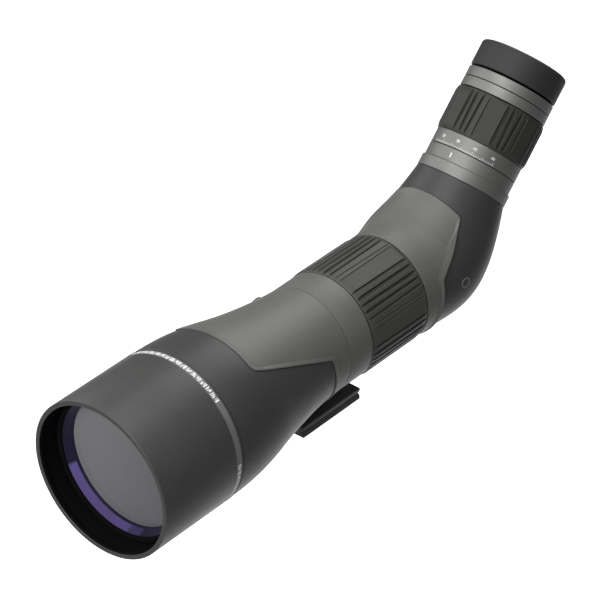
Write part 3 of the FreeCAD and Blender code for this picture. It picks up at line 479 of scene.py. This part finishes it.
def make_band_marks(start):
    """Plain bars of uneven width and height round parts of the band; they spell nothing."""
    marks = []
    for first, last in MARKED_ARCS:
        angle = first
        step = 0
        while angle > last:
            width = MARK_WIDTHS[step % len(MARK_WIDTHS)]
            low = start + MARK_LOWS[step % len(MARK_LOWS)]
            high = start + MARK_HIGHS[(step * 3) % len(MARK_HIGHS)]
            marks.append(block(on_main, (low, high), (angle - width, angle), BAND_FACE, 0.04))
            angle -= width + MARK_GAPS[step % len(MARK_GAPS)]
            step += 1
    dress(join_blocks("band_marks", marks), "silver_print", "sunshade")


def make_sunshade():
    """The hood with its rolled rim, black bore and printed band."""
    start, end = BAND
    hood = lathe("hood", [
        (0.0, 44.9), (0.0, HOOD_RADIUS), (start, HOOD_RADIUS), (start, 47.2), (end, 47.2), (end, HOOD_RADIUS),
        (HOOD_END, HOOD_RADIUS), (HOOD_END, 44.7), (57.8, 44.7), (57.8, HOOD_BORE), (3.8, HOOD_BORE),
        (3.0, 44.9)], edge=0.45)
    dress(hood, "hood_paint", "sunshade", "sunshade")

    def in_bore(centre):
        return math.hypot(centre.x, centre.z - AXIS_Z) < 46.4 and centre.y > RIM_Y + 0.5
    dress_inside(hood, "inner_black", in_bore)
    band = lathe("printed_band", [
        (start + 0.1, 47.1), (start + 0.1, BAND_FACE), (end - 0.1, BAND_FACE), (end - 0.1, 47.1)], edge=0.1)
    dress(band, "silver_print", "sunshade", "sunshade_band", finish="band_grey")
    make_band_marks(start)


def make_front_tube():
    """The structural tube that the sunshade slides on, with the felt ring that guides it."""
    stations = np.linspace(SWELL[0][0], SEAM - 0.3, 10)
    outside = list(zip(stations, barrel_radius(stations) - 1.8))
    inside = list(zip(stations, barrel_radius(stations) - 3.2))
    front = [(42.1, 42.9), (42.1, 44.6), (SHOULDER - 0.2, 44.6), (SHOULDER - 0.2, 45.7)]
    tube = lathe("front_tube", front + outside + inside[::-1], edge=0.2)
    dress(tube, "inner_black", "front_body", "objective_barrel")
    felt = lathe("guide_felt_ring", [(17.1, 44.1), (17.1, 45.7), (21.9, 45.7), (21.9, 44.1)], edge=0.5)
    dress(felt, "guide_felt", "front_body", "hood_guide_ring")


def dome(name, place, edge_at, reach, curve, direction=-1.0):
    """A spherical cap that bulges along its axis from a rim at one station."""
    radii = np.linspace(reach, 0.02, 24)
    base = math.sqrt(curve ** 2 - reach ** 2)
    along = edge_at + direction * (np.sqrt(curve ** 2 - radii ** 2) - base)
    angles = np.linspace(0.0, 2 * math.pi, FINE_STEPS, endpoint=False)
    return patch(name, place(along[:, None], angles[None, :], radii[:, None]))


def make_objective():
    """The lens cell, the coated front glass and the disc of glass behind it, with its painted sheen."""
    cell = lathe("lens_cell", [
        (LENS_FRONT, 41.7), (LENS_FRONT, 44.3), (LENS_FRONT + 0.3, 44.6), (17.0, 44.6), (17.0, 44.0),
        (22.0, 44.0), (22.0, 44.6), (42.0, 44.6), (42.0, 42.4), (15.4, 42.4), (15.4, 41.5)], edge=0.15)
    dress(cell, "inner_black", "front_body", "objective_cell", "lens_retaining_ring")
    glass = dome("front_glass", on_main, 14.6, 41.6, 240.0)
    dress(glass, "lens_glass", "front_body", "front_lens")
    turns = np.linspace(0, 2 * math.pi, FINE_STEPS, endpoint=False)[None, :]
    outer_ring = on_main(np.array([[14.7], [19.4]]), turns, np.array([[41.6], [39.6]]))
    # the lens edge carries a painted violet reflection
    dress(patch("lens_edge", outer_ring), "lens_glass", "front_body", finish="violet_edge")
    inner_ring = on_main(np.array([[19.4], [21.0]]), turns, np.array([[39.6], [38.9]]))
    dress(patch("lens_edge_shade", inner_ring), "lens_glass", "front_body", finish="violet_shade")
    # the rear glass carries a painted sheen and a faint painted glow
    back = dome("rear_glass", on_main, 21.0, 38.9, 420.0)
    dress(back, "lens_glass", "front_body", "rear_lens", finish="lens_back")


# ------------------------------------------------------------------ front barrel

def bowed(along, start, end, curve, bulge):
    """Distance out along an arc between two points; bulge is 1 for a swell and -1 for a hollow."""
    half = math.dist(start, end) / 2
    away = math.sqrt(curve ** 2 - half ** 2)
    across = -(end[1] - start[1]) / (2 * half) * away
    upward = (end[0] - start[0]) / (2 * half) * away
    centre = ((start[0] + end[0]) / 2 - bulge * across, (start[1] + end[1]) / 2 - bulge * upward)
    return centre[1] + bulge * np.sqrt(np.maximum(curve ** 2 - (along - centre[0]) ** 2, 0.0))


def barrel_radius(along):
    """Radius of the front barrel at a station."""
    out = np.full_like(along, HOOD_RADIUS)
    out = np.where(along > SWELL[0][0], bowed(along, *SWELL, 1.0), out)
    return np.where(along > TAPER[0][0], bowed(along, *TAPER, -1.0), out)


def barrel(along, angle, depth):
    """The front barrel's skin, sunk by a depth."""
    return on_main(along, angle, barrel_radius(along) - depth)


def filleted(corners, reach, step=0.15):
    """Evenly spaced points along an open line with rounded corners."""
    line = [np.array(corners[0], float)]
    for before, corner, after in zip(corners, corners[1:], corners[2:]):
        before, corner, after = (np.array(p, float) for p in (before, corner, after))
        first = corner + (before - corner) / np.linalg.norm(before - corner) * reach
        last = corner + (after - corner) / np.linalg.norm(after - corner) * reach
        for share in np.linspace(0.0, 1.0, 12):
            line.append((1 - share) ** 2 * first + 2 * share * (1 - share) * corner + share ** 2 * last)
    line.append(np.array(corners[-1], float))
    line = np.array(line)
    run = np.concatenate([[0.0], np.cumsum(np.linalg.norm(np.diff(line, axis=0), axis=1))])
    even = np.arange(0.0, run[-1], step)
    return np.stack([np.interp(even, run, line[:, 0]), np.interp(even, run, line[:, 1])], axis=1)


def softened(values, width):
    """A running mean over a ring of values."""
    kernel = np.hanning(width + 2)[1:-1]
    kernel /= kernel.sum()
    padded = np.concatenate([values[-width:], values, values[:width]])
    return np.convolve(padded, kernel, "same")[width:-width]


COLUMNS = np.radians(np.arange(-90.0, 270.0, 0.5))


def mirrored(angles):
    """The same angles folded onto the scope's left half, where a border is laid out."""
    return np.where(angles > math.pi / 2, math.pi - angles, angles)


def saddle_border():
    """Station of the saddle's edge at each column of the barrel, from its side view."""
    side = filleted([(91.0, 47.0), (91.7, 35.4), (153.8, 10.1), (159.3, -38.0)], 2.6)
    ratio = side[:, 1] / barrel_radius(side[:, 0])
    inside = np.abs(ratio) < 1.0
    angles = np.arcsin(ratio[inside])
    order = np.argsort(angles)
    return softened(np.interp(mirrored(COLUMNS), angles[order], side[inside][order, 0]), 5)


def stretch(surface, border):
    """How far a station must shift, at each column, for a 1 mm step square to the border."""
    nudge, turn = 0.05, 0.001
    here = surface(border, COLUMNS, 0.0)
    along_step = np.linalg.norm(surface(border + nudge, COLUMNS, 0.0) - here, axis=-1) / nudge
    turn_step = np.linalg.norm(surface(border, COLUMNS + turn, 0.0) - here, axis=-1) / turn
    slope = (np.roll(border, -1) - np.roll(border, 1)) / (2 * (COLUMNS[1] - COLUMNS[0]))
    return np.sqrt(1 + (along_step * slope / turn_step) ** 2) / along_step


def skin(name, surface, rows):
    """A skin through rows of (stations, depths)."""
    stations = np.array([np.broadcast_to(row[0], COLUMNS.shape) for row in rows])
    depths = np.array([np.broadcast_to(row[1], COLUMNS.shape) for row in rows])
    return patch(name, surface(stations, COLUMNS[None, :], depths), sharp=35.0)


def fill_rows(first, last, depth, count):
    """Rows spread evenly between two lines of stations."""
    return [(first + (last - first) * share, depth) for share in np.linspace(0.0, 1.0, count)]


def panel_rows(border, step, start, count, away):
    """Rows of a dark panel from its start up to the gap at the saddle's foot."""
    rows = fill_rows(start, border - away * 0.5 * step, PANEL_SINK, count)
    rows += [(border - away * 0.28 * step, PANEL_SINK), (border - away * 0.2 * step, PANEL_SINK + 0.06),
             (border - away * 0.12 * step, SKIN)]
    return rows


def saddle_rows(border, step, end, count, away, width, lip, inner):
    """Rows of a grey saddle from its foot, over the raised lip round it, to its end.

    The lip stands up by lip at its outer edge and by inner where it drops to the saddle.
    """
    rows = [(border - away * 0.02 * step, SKIN), (border, 0.2 - lip),
            (border + away * 0.08 * step, 0.06 - lip), (border + away * 0.25 * step, -lip),
            (border + away * 0.45 * step, 0.02 - lip),
            (border + away * (width - 0.4) * step, -inner), (border + away * width * step, 0.0),
            (border + away * (width + 0.4) * step, 0.0)]
    rows += fill_rows(border + away * (width + 1.2) * step, end, 0.0, count)
    return rows


def make_barrel():
    """The charcoal front panel and the grey saddle that laps over it."""
    border = saddle_border()
    step = stretch(barrel, border)
    front = [(SHOULDER, 3.0), (SHOULDER, PANEL_SINK + 0.35), (SHOULDER + 0.1, PANEL_SINK + 0.12),
             (SHOULDER + 0.35, PANEL_SINK)]
    dark = skin("front_panel", barrel, front + panel_rows(border, step, 63.0, 60, 1.0))
    dress(dark, "dark_armour", "front_body", "barrel_armour_dark")
    end = [(SEAM - 0.08, 0.12), (SEAM, 0.35), (SEAM, SKIN + 0.6)]
    width = np.full_like(COLUMNS, 2.3)
    rows = saddle_rows(border, step, SEAM - 0.35, 60, 1.0, width, 0.3, 0.24)
    saddle = skin("front_saddle", barrel, rows + end)
    dress(saddle, "grey_armour", "front_body", "barrel_armour_grey")
    collar = lathe("collar", [
        (COLLAR[0], 32.3), (COLLAR[0], 33.5), (COLLAR[1], 33.7), (COLLAR[1], 32.3)], edge=0.35)
    dress(collar, "grey_armour", "rear_body", "collar_ring")


# ------------------------------------------------------------------ grips

def grip(name, place, span, radius, ends, grooves, sectors, pointed=3.0):
    """A rubber sleeve with a set of tapered grooves in each of its sectors.

    Each groove gives its middle and width at the start, the same at the end, in degrees, and its depth.
    """
    start, end = span
    length = end - start
    near_rows = [0.0, 0.35, 0.9, pointed, pointed * 2]
    points = []
    for row in near_rows + [length / 2] + [length - row for row in reversed(near_rows)]:
        share = row / length
        near = min(row, length - row)
        taper = min(1.0, max(0.0, (near - 0.35) / (pointed - 0.35)))
        top = radius - ends * max(0.0, 1.0 - near / 2.6) ** 1.5
        line = []
        for repeat in range(sectors):
            for first, wide_first, last, wide_last, deep in grooves:
                middle = first + (last - first) * share + repeat * 360.0 / sectors
                half = (wide_first + (wide_last - wide_first) * share) / 2 * (0.3 + 0.7 * taper)
                floor = half * 0.45
                line += [(middle - half - 0.35, top), (middle - half, top - 0.1 * taper),
                         (middle - floor, top - deep * taper), (middle + floor, top - deep * taper),
                         (middle + half, top - 0.1 * taper), (middle + half + 0.35, top)]
        angles = np.radians([angle for angle, out in line])
        points.append(place(start + row, angles, np.array([out for angle, out in line])))
    under = np.full(len(angles), radius - 2.6)
    points = [place(start, angles, under)] + points + [place(end, angles, under)]
    return patch(name, np.array(points), sharp=18.0)


FOCUS_GROOVES = (
    (16.8, 1.4, 17.6, 1.6, 0.5),
    (22.4, 1.4, 21.0, 1.4, 0.45),
    (29.4, 2.2, 30.2, 2.6, 1.1),
    (36.6, 4.0, 37.2, 2.6, 1.6),
    (44.2, 2.6, 43.0, 4.4, 1.7),
    (50.8, 4.6, 51.4, 3.4, 1.7),
    (59.2, 2.4, 58.0, 3.8, 1.3),
)

ZOOM_GROOVES = (
    (23.6, 2.6, 23.2, 3.0, 0.9),
    (33.2, 4.0, 31.4, 4.6, 1.5),
    (40.4, 4.6, 42.0, 4.8, 1.5),
    (50.4, 4.2, 49.4, 5.8, 1.6),
)


def make_focus():
    """The ribbed focus sleeve."""
    sleeve = grip("focus_sleeve", on_main, FOCUS, FOCUS_RADIUS, 0.9, FOCUS_GROOVES, 6)
    dress(sleeve, "grip_rubber", "focus_ring", "focus_grip")


# ------------------------------------------------------------------ elbow

def natural_spline(values):
    """A natural cubic spline through one value at each elbow knot, and the length of the knots' line."""
    spans = [math.dist(knot[:2], after[:2]) for knot, after in zip(ELBOW_KNOTS, ELBOW_KNOTS[1:])]
    knots = np.concatenate([[0.0], np.cumsum(spans)])
    count = len(knots)
    gaps = np.diff(knots)
    system = np.eye(count)
    right = np.zeros(count)
    for index in range(1, count - 1):
        system[index, index - 1] = gaps[index - 1]
        system[index, index] = 2 * (gaps[index - 1] + gaps[index])
        system[index, index + 1] = gaps[index]
        right[index] = 6 * ((values[index + 1] - values[index]) / gaps[index]
                            - (values[index] - values[index - 1]) / gaps[index - 1])
    bends = np.linalg.solve(system, right)

    def evaluate(where):
        where = np.asarray(where, float)
        piece = np.clip(np.searchsorted(knots, where, "right") - 1, 0, count - 2)
        gap = gaps[piece]
        left = (knots[piece + 1] - where) / gap
        ahead = (where - knots[piece]) / gap
        straight = left * np.take(values, piece) + ahead * np.take(values, piece + 1)
        curved = (left ** 3 - left) * bends[piece] + (ahead ** 3 - ahead) * bends[piece + 1]
        return straight + curved * gap ** 2 / 6
    return evaluate, knots[-1]


STATION, SPINE_LENGTH = natural_spline([knot[0] for knot in ELBOW_KNOTS])
HEIGHT = natural_spline([knot[1] for knot in ELBOW_KNOTS])[0]
GIRTH = natural_spline([knot[2] for knot in ELBOW_KNOTS])[0]
LEAN = natural_spline([math.radians(knot[3]) for knot in ELBOW_KNOTS])[0]


def elbow(spine, angle, depth):
    """The elbow's skin: a round section that leans over as it goes back."""
    out = GIRTH(spine) - depth
    lean = LEAN(spine)
    up = out * np.sin(angle)
    return np.stack(np.broadcast_arrays(
        out * np.cos(angle), STATION(spine) - up * np.sin(lean) + RIM_Y,
        AXIS_Z + HEIGHT(spine) + up * np.cos(lean)), axis=-1)


def elbow_border():
    """Where the grey front of the elbow ends at each column, from its side view."""
    side = filleted([(266.4, 80.0), (279.4, 37.2), (252.0, 12.2), (244.0, -60.0)], 1.6)
    spines = np.linspace(0.0, SPINE_LENGTH, 600)
    centres = np.stack([STATION(spines), HEIGHT(spines)], axis=1)
    lean = LEAN(spines)
    angles, places = [], []
    for point in side:
        away = point - centres
        ahead = away[:, 0] * np.cos(lean) + away[:, 1] * np.sin(lean)
        crossing = np.where((ahead[:-1] >= 0) & (ahead[1:] < 0))[0]
        if len(crossing) == 0:
            continue
        at = crossing[0]
        share = ahead[at] / (ahead[at] - ahead[at + 1])
        spine = spines[at] + share * (spines[1] - spines[0])
        up = (-(point[0] - STATION(spine)) * np.sin(LEAN(spine))
              + (point[1] - HEIGHT(spine)) * np.cos(LEAN(spine))) / GIRTH(spine)
        if abs(up) < 1.0:
            angles.append(math.asin(up))
            places.append(float(spine))
    order = np.argsort(angles)
    line = np.interp(mirrored(COLUMNS), np.array(angles)[order], np.array(places)[order])
    return softened(line, 7)


def make_elbow():
    """The grey front of the elbow and the charcoal heel and neck."""
    border = elbow_border()
    step = stretch(elbow, border)
    fold = np.degrees(mirrored(COLUMNS))
    width = np.interp(fold, [-90, 12, 22, 40, 47, 90], [1.7, 1.8, 3.2, 3.3, 4.5, 4.5])
    width = softened(width, 9)
    front = [(0.0, SKIN + 2.0), (0.0, 0.35), (0.1, 0.1), (0.35, 0.0)]
    grey_rows = list(reversed(saddle_rows(border, step, 0.8, 70, -1.0, width, 0.85, 0.08)))
    grey_skin = skin("elbow_front", elbow, front + grey_rows)
    dress(grey_skin, "grey_armour", "rear_body", "prism_armour_grey")
    dark_rows = list(reversed(panel_rows(border, step, SPINE_LENGTH - 0.5, 90, -1.0)))
    top = [(SPINE_LENGTH - 0.15, PANEL_SINK + 0.12), (SPINE_LENGTH, PANEL_SINK + 0.4), (SPINE_LENGTH, 3.4)]
    dark = skin("elbow_heel", elbow, dark_rows + top)
    dress(dark, "dark_armour", "rear_body", "prism_armour_dark")
    make_badge()


def make_badge():
    """A plain round badge let into each side of the heel: a blank disc inside a pale ring."""
    turns = np.linspace(0.0, 2 * math.pi, 96, endpoint=False)
    low, high = PANEL_SINK + 0.1, PANEL_SINK - 0.1
    disc = ((0.05, PANEL_SINK - 0.06), (2.2, PANEL_SINK - 0.04), (2.4, low))
    ring = ((2.6, low), (2.7, high), (3.5, high), (3.6, low))
    for side, end in ((1.0, "left"), (-1.0, "right")):
        for name, rows, finish in (
                ("badge_disc_", disc, "dark_armour"),
                ("badge_ring_", ring, "band_grey")):
            points = []
            for reach, depth in rows:
                angle = BADGE_ANGLE + reach * np.sin(turns) / GIRTH(BADGE_SPINE)
                around = angle if side > 0 else math.pi - angle
                points.append(elbow(BADGE_SPINE + reach * np.cos(turns), around, depth))
            dress(patch(name + end, np.array(points)), "dark_armour", "rear_body", finish=finish)


# ------------------------------------------------------------------ eyepiece

def make_scale():
    """Ticks and figures on the zoom ring, and the index mark below them."""
    marks = []
    first, last = ZOOM_ARC
    for number in range(ZOOM_TICKS):
        angle = first - number * (first - last) / (ZOOM_TICKS - 1)
        length = 1.9 if number % 5 == 0 else 1.1
        marks.append(block(on_eyepiece, (65.75, 65.75 + length), (angle - 0.28, angle + 0.28), RING, 0.03))
    for words, angle in ZOOM_FIGURES:
        marks.append(wrapped_text(words, on_eyepiece, 69.9, angle, RING, 2.5))
    dress(join_blocks("zoom_figures", marks), "silver_print", "zoom_ring")
    index = join_blocks("index_mark", [block(on_eyepiece, (59.4, 62.4), (87.3, 88.7), RING, 0.03)])
    dress(index, "silver_print", "rear_body")


def make_eyepiece():
    """The rings, the zoom grip and the eyecup."""
    index = lathe("index_ring_skin", [
        (50.1, 25.0), (50.1, FLANGE), (56.8, FLANGE), (57.5, RING), (65.0, RING), (65.0, 24.0)],
        on_eyepiece, 0.3)
    dress(index, "ring_metal", "rear_body", "index_ring")
    zoom = lathe("zoom_scale_ring", [
        (65.4, 23.4), (65.4, RING), (74.2, RING), (74.2, 25.2), (102.3, 25.2), (102.3, 22.8), (66.4, 22.8)],
        on_eyepiece, 0.2)
    dress(zoom, "ring_metal", "zoom_ring", "zoom_ring")
    sleeve = grip("zoom_sleeve", on_eyepiece, (74.4, 102.1), FLANGE, 1.0, ZOOM_GROOVES, 7, pointed=3.4)
    dress(sleeve, "grip_rubber", "zoom_ring", "zoom_grip", finish="zoom_rubber")
    stop = lathe("stop_ring", [(102.7, 23.0), (102.7, RING), (108.6, RING), (108.6, 23.0)], on_eyepiece, 0.3)
    dress(stop, "ring_metal", "rear_body", "zoom_stop_ring")
    base = lathe("base_ring", [(109.0, 23.0), (109.0, RING), (115.0, RING), (115.0, 23.0)], on_eyepiece, 0.35)
    dress(base, "ring_metal", "rear_body", "eyecup_base_ring")
    cup = lathe("eyecup_rubber", [
        (116.3, 25.1), (116.3, 26.9), (116.9, RING), (130.9, RING), (132.3, 26.7), (133.0, 25.2),
        (133.0, 21.6), (132.0, 20.6), (131.1, 20.6), (131.1, 25.1)], on_eyepiece, 0.5)
    dress(cup, "cup_rubber", "eyecup", "eyecup")
    make_eye_end()
    eye = dome("eye_glass", on_eyepiece, 122.5, 18.3, 110.0, direction=1.0)
    dress(eye, "lens_glass", "rear_body", "outer_eye_lens")
    make_scale()


def make_eye_end():
    """The tube, lens cell and sleeves that show inside the eyecup and below it when it is raised."""
    tube = lathe("eye_tube", [(58.0, 20.25), (58.0, 22.5), (127.0, 22.5), (127.0, 20.25)], on_eyepiece, 0.3)
    dress(tube, "inner_black", "rear_body", "eyepiece_tube")
    bezel = lathe("eye_bezel", [
        (108.0, 18.45), (108.0, 20.15), (126.5, 20.15), (126.5, 19.0), (125.9, 18.7), (125.9, 17.3),
        (124.9, 17.2), (124.9, 18.45)], on_eyepiece, 0.2)
    dress(bezel, "inner_black", "rear_body", "eye_lens_cell")
    cam = lathe("cam_sleeve", [
        (115.3, 22.58), (115.3, 23.5), (126.8, 23.5), (126.8, 22.58)], on_eyepiece, 0.2)
    dress(cam, "inner_black", "eyecup_cam", "eyecup_cam")
    sleeve = lathe("cup_sleeve", [
        (116.4, 23.58), (116.4, 25.0), (131.0, 25.0), (131.0, 23.58)], on_eyepiece, 0.2)
    dress(sleeve, "inner_black", "eyecup", "eyecup_sleeve")


# ------------------------------------------------------------------ foot and lock

def bored(obj, holes):
    """Cut round holes up into a piece; each hole is (station, radius, depth)."""
    cutters = []
    sides = 64
    for station, radius, depth in holes:
        turns = np.linspace(0.0, 2 * math.pi, sides, endpoint=False)
        place = under_foot(station)
        points = np.concatenate([place(np.array(-1.0), turns, radius), place(np.array(depth), turns, radius)])
        faces = grid_faces(2, sides, True) + [tuple(range(sides)), tuple(range(sides, 2 * sides))]
        cutter = add_mesh("hole_cutter", points, faces)
        cutters.append(cutter)
        cut = obj.modifiers.new("hole", "BOOLEAN")
        cut.operation = "DIFFERENCE"
        cut.solver = "EXACT"
        cut.object = cutter
    bpy.context.view_layer.update()
    shaped = obj.evaluated_get(bpy.context.evaluated_depsgraph_get())
    mesh = bpy.data.meshes.new_from_object(shaped)
    obj.modifiers.clear()
    obj.data = mesh
    for cutter in cutters:
        bpy.data.objects.remove(cutter)


def make_thread():
    """The steel insert in the foot, with the turns of its tripod thread."""
    outline = [(6.4, 4.56), (0.05, 4.56), (0.05, 3.5)]
    height = 0.5
    while height < 6.0:
        outline += [(height, 2.75), (height + 0.3, 3.2)]
        height += 0.6
    outline.append((6.4, 3.2))
    insert = lathe("thread_insert_skin", outline, under_foot(THREAD_STATION), edge=0.0, steps=96)
    dress(insert, "screw_steel", "front_body", "thread_insert")


def make_foot_screws():
    """Cap screws with hexagon sockets, sunk into the underside of the foot."""
    turns = np.linspace(0.0, 2 * math.pi, 96, endpoint=False)
    facet = np.mod(turns, math.pi / 3) - math.pi / 6
    hexagon = 1.52 / np.cos(facet)
    profile = ((12.0, 2.0), (4.4, 2.0), (4.35, 3.5), (1.5, 3.5), (1.2, 3.2), (1.2, 2.2))
    for number, station in enumerate(FOOT_SCREWS, start=1):
        place = under_foot(station)
        rows = [place(np.array(along), turns, out) for along, out in profile]
        rows += [place(np.array(1.2), turns, hexagon + 0.1), place(np.array(1.3), turns, hexagon),
                 place(np.array(3.2), turns, hexagon), place(np.array(3.3), turns, hexagon * 0.02)]
        screw = patch(f"foot_screw_{number}", np.array(rows))
        dress(screw, "screw_steel", "front_body", "foot_screws")


def make_foot():
    """The dovetail foot with its grooved sides, thread and screws."""
    half, top = FOOT_HALF_WIDTH, FOOT_THICKNESS
    outline = [(-half, 0.0), (-half, 1.5), (-17.0, 3.5), (-half, 5.4), (-half, top),
               (half, top), (half, 5.4), (17.0, 3.5), (half, 1.5), (half, 0.0)]
    section = np.array(rounded(outline, 0.45))
    middle = np.array([0.0, 3.8])
    rows = []
    for station, shrink in PLATE_ENDS:
        ratio = 1.0 - shrink / np.array([half, top / 2])
        ring = middle + (section - middle) * ratio
        rows.append(np.stack([ring[:, 0], np.full(len(ring), station + RIM_Y), ring[:, 1]], axis=1))
    points = np.array(rows)
    count = len(section)
    faces = grid_faces(len(rows), count, True)
    faces += [tuple(range(count)), tuple(range((len(rows) - 1) * count, len(rows) * count))]
    plate = add_mesh("foot_plate", points.reshape(-1, 3), faces)
    bored(plate, [(THREAD_STATION, 4.6, 6.5)] + [(station, 3.8, 4.4) for station in FOOT_SCREWS])
    dress(plate, "black_anodised", "front_body", "foot")
    make_thread()
    make_foot_screws()
    front, back = NECK_ENDS
    neck = np.array(rounded([(-12.0, front), (-12.0, back), (12.0, back), (12.0, front)], 1.5))
    rows = []
    for height in (7.5, 10.6):
        rows.append(np.stack([neck[:, 0], neck[:, 1] + RIM_Y, np.full(len(neck), height)], axis=1))
    block_faces = grid_faces(2, len(neck), True)
    block_faces += [tuple(range(len(neck))), tuple(range(len(neck), 2 * len(neck)))]
    dress(add_mesh("foot_neck", np.concatenate(rows), block_faces), "black_anodised", "front_body")


def make_lock():
    """The knurled lock knob."""
    turns = np.linspace(0.0, 2 * math.pi, ROUND_STEPS, endpoint=False)
    flute = 0.35 * np.maximum(0.0, np.cos(KNOB_FLUTES * turns)) ** 1.5
    rows = []
    for along, out, share in ((34.6, 2.1, 0.0), (34.6, 4.3, 1.0), (34.8, 4.5, 1.0), (35.9, 4.5, 1.0),
                              (36.2, 4.1, 0.6), (36.3, 3.8, 0.0), (36.3, 2.7, 0.0), (36.1, 2.5, 0.0),
                              (36.1, 0.05, 0.0)):
        rows.append(on_lock(np.array(along), turns, out - share * flute))
    dress(patch("lock_knob_skin", np.array(rows)), "black_anodised", "lock_knob", "lock_knob")


# ------------------------------------------------------------------ frame pieces, light and camera

def dress_frame():
    """Give every inner frame piece the finish of its slot."""
    slots = {item["node"]: item["material_slot"] for item in frame["record"]["subparts"]}
    for name, obj in frame["nodes"].items():
        obj.data.materials.clear()
        obj.data.materials.append(MATERIALS[slots[name]])


def area_light(name, spot, aim, size, power):
    """A soft rectangular lamp, with its places in metres and its power in watts."""
    lamp = bpy.data.lights.new(name, "AREA")
    lamp.shape = "RECTANGLE"
    lamp.size, lamp.size_y = size
    lamp.energy = power
    obj = bpy.data.objects.new(name, lamp)
    obj.location = spot
    obj.rotation_euler = (Vector(aim) - Vector(spot)).to_track_quat("-Z", "Y").to_euler()
    bpy.context.scene.collection.objects.link(obj)


def make_surround():
    """An even white light from all around."""
    world = bpy.data.worlds.new("surround")
    bpy.context.scene.world = world
    world.use_nodes = True
    backdrop = world.node_tree.nodes["Background"]
    backdrop.inputs["Color"].default_value = (1.0, 1.0, 1.0, 1)
    backdrop.inputs["Strength"].default_value = 0.245


def make_stage():
    """A plain pale floor, soft lamps and a white surround."""
    reach = 4000.0
    level = -800.0
    corners = [(-reach, -reach, level), (reach, -reach, level), (reach, reach, level), (-reach, reach, level)]
    floor = add_mesh("floor", corners, [(0, 1, 2, 3)])
    material, tree, shader = shade("pale_floor")
    spot = node(tree, "ShaderNodeTexCoord")
    clouds = node(tree, "ShaderNodeTexNoise", Scale=3.0)
    tree.links.new(spot.outputs["Object"], clouds.inputs["Vector"])
    ramp = node(tree, "ShaderNodeValToRGB")
    ramp.color_ramp.elements[0].color = (0.79, 0.79, 0.79, 1)
    ramp.color_ramp.elements[1].color = (0.81, 0.81, 0.81, 1)
    tree.links.new(clouds.outputs["Fac"], ramp.inputs["Fac"])
    tree.links.new(ramp.outputs["Color"], shader.inputs["Base Color"])
    shader.inputs["Roughness"].default_value = 0.9
    floor.data.materials.append(material)
    make_surround()
    middle = (0.0, -0.02, 0.05)
    small = (0.5, 0.5)
    area_light("lamp_above", (0.0, -0.10, 0.65), middle, small, 3.8)
    area_light("lamp_left", (-0.52, -0.10, 0.35), middle, small, 2.3)
    area_light("lamp_front", (0.1, -0.80, 0.40), middle, small, 10.0)
    area_light("lamp_behind", (-0.1, 0.55, 0.50), middle, small, 3.0)
    area_light("lamp_right", (0.30, -0.10, 0.57), middle, small, 0.8)
    area_light("backdrop_light", (-0.90, 1.06, -0.20), (-0.90, 1.06, -0.80), (1.9, 1.9), 25.0)
    bpy.context.scene.view_settings.view_transform = "Standard"


def make_camera():
    """A long lens above and to the left of the scope's front."""
    turn, climb = math.radians(40.39), math.radians(34.75)
    back = Vector((math.sin(turn) * math.cos(climb), -math.cos(turn) * math.cos(climb), math.sin(climb)))
    lens = bpy.data.cameras.new("view")
    lens.lens = 203.1
    lens.sensor_width = 36.0
    lens.clip_start = 0.05
    lens.clip_end = 50.0
    camera = bpy.data.objects.new("view", lens)
    camera.location = (1.00383, -1.18569, 1.15112)
    camera.rotation_mode = "QUATERNION"
    camera.rotation_quaternion = (-back).to_track_quat("-Z", "Y")
    bpy.context.scene.collection.objects.link(camera)
    bpy.context.scene.camera = camera


dress_frame()
make_sunshade()
make_front_tube()
make_objective()
make_barrel()
make_focus()
make_elbow()
make_eyepiece()
make_foot()
make_lock()
make_stage()
make_camera()
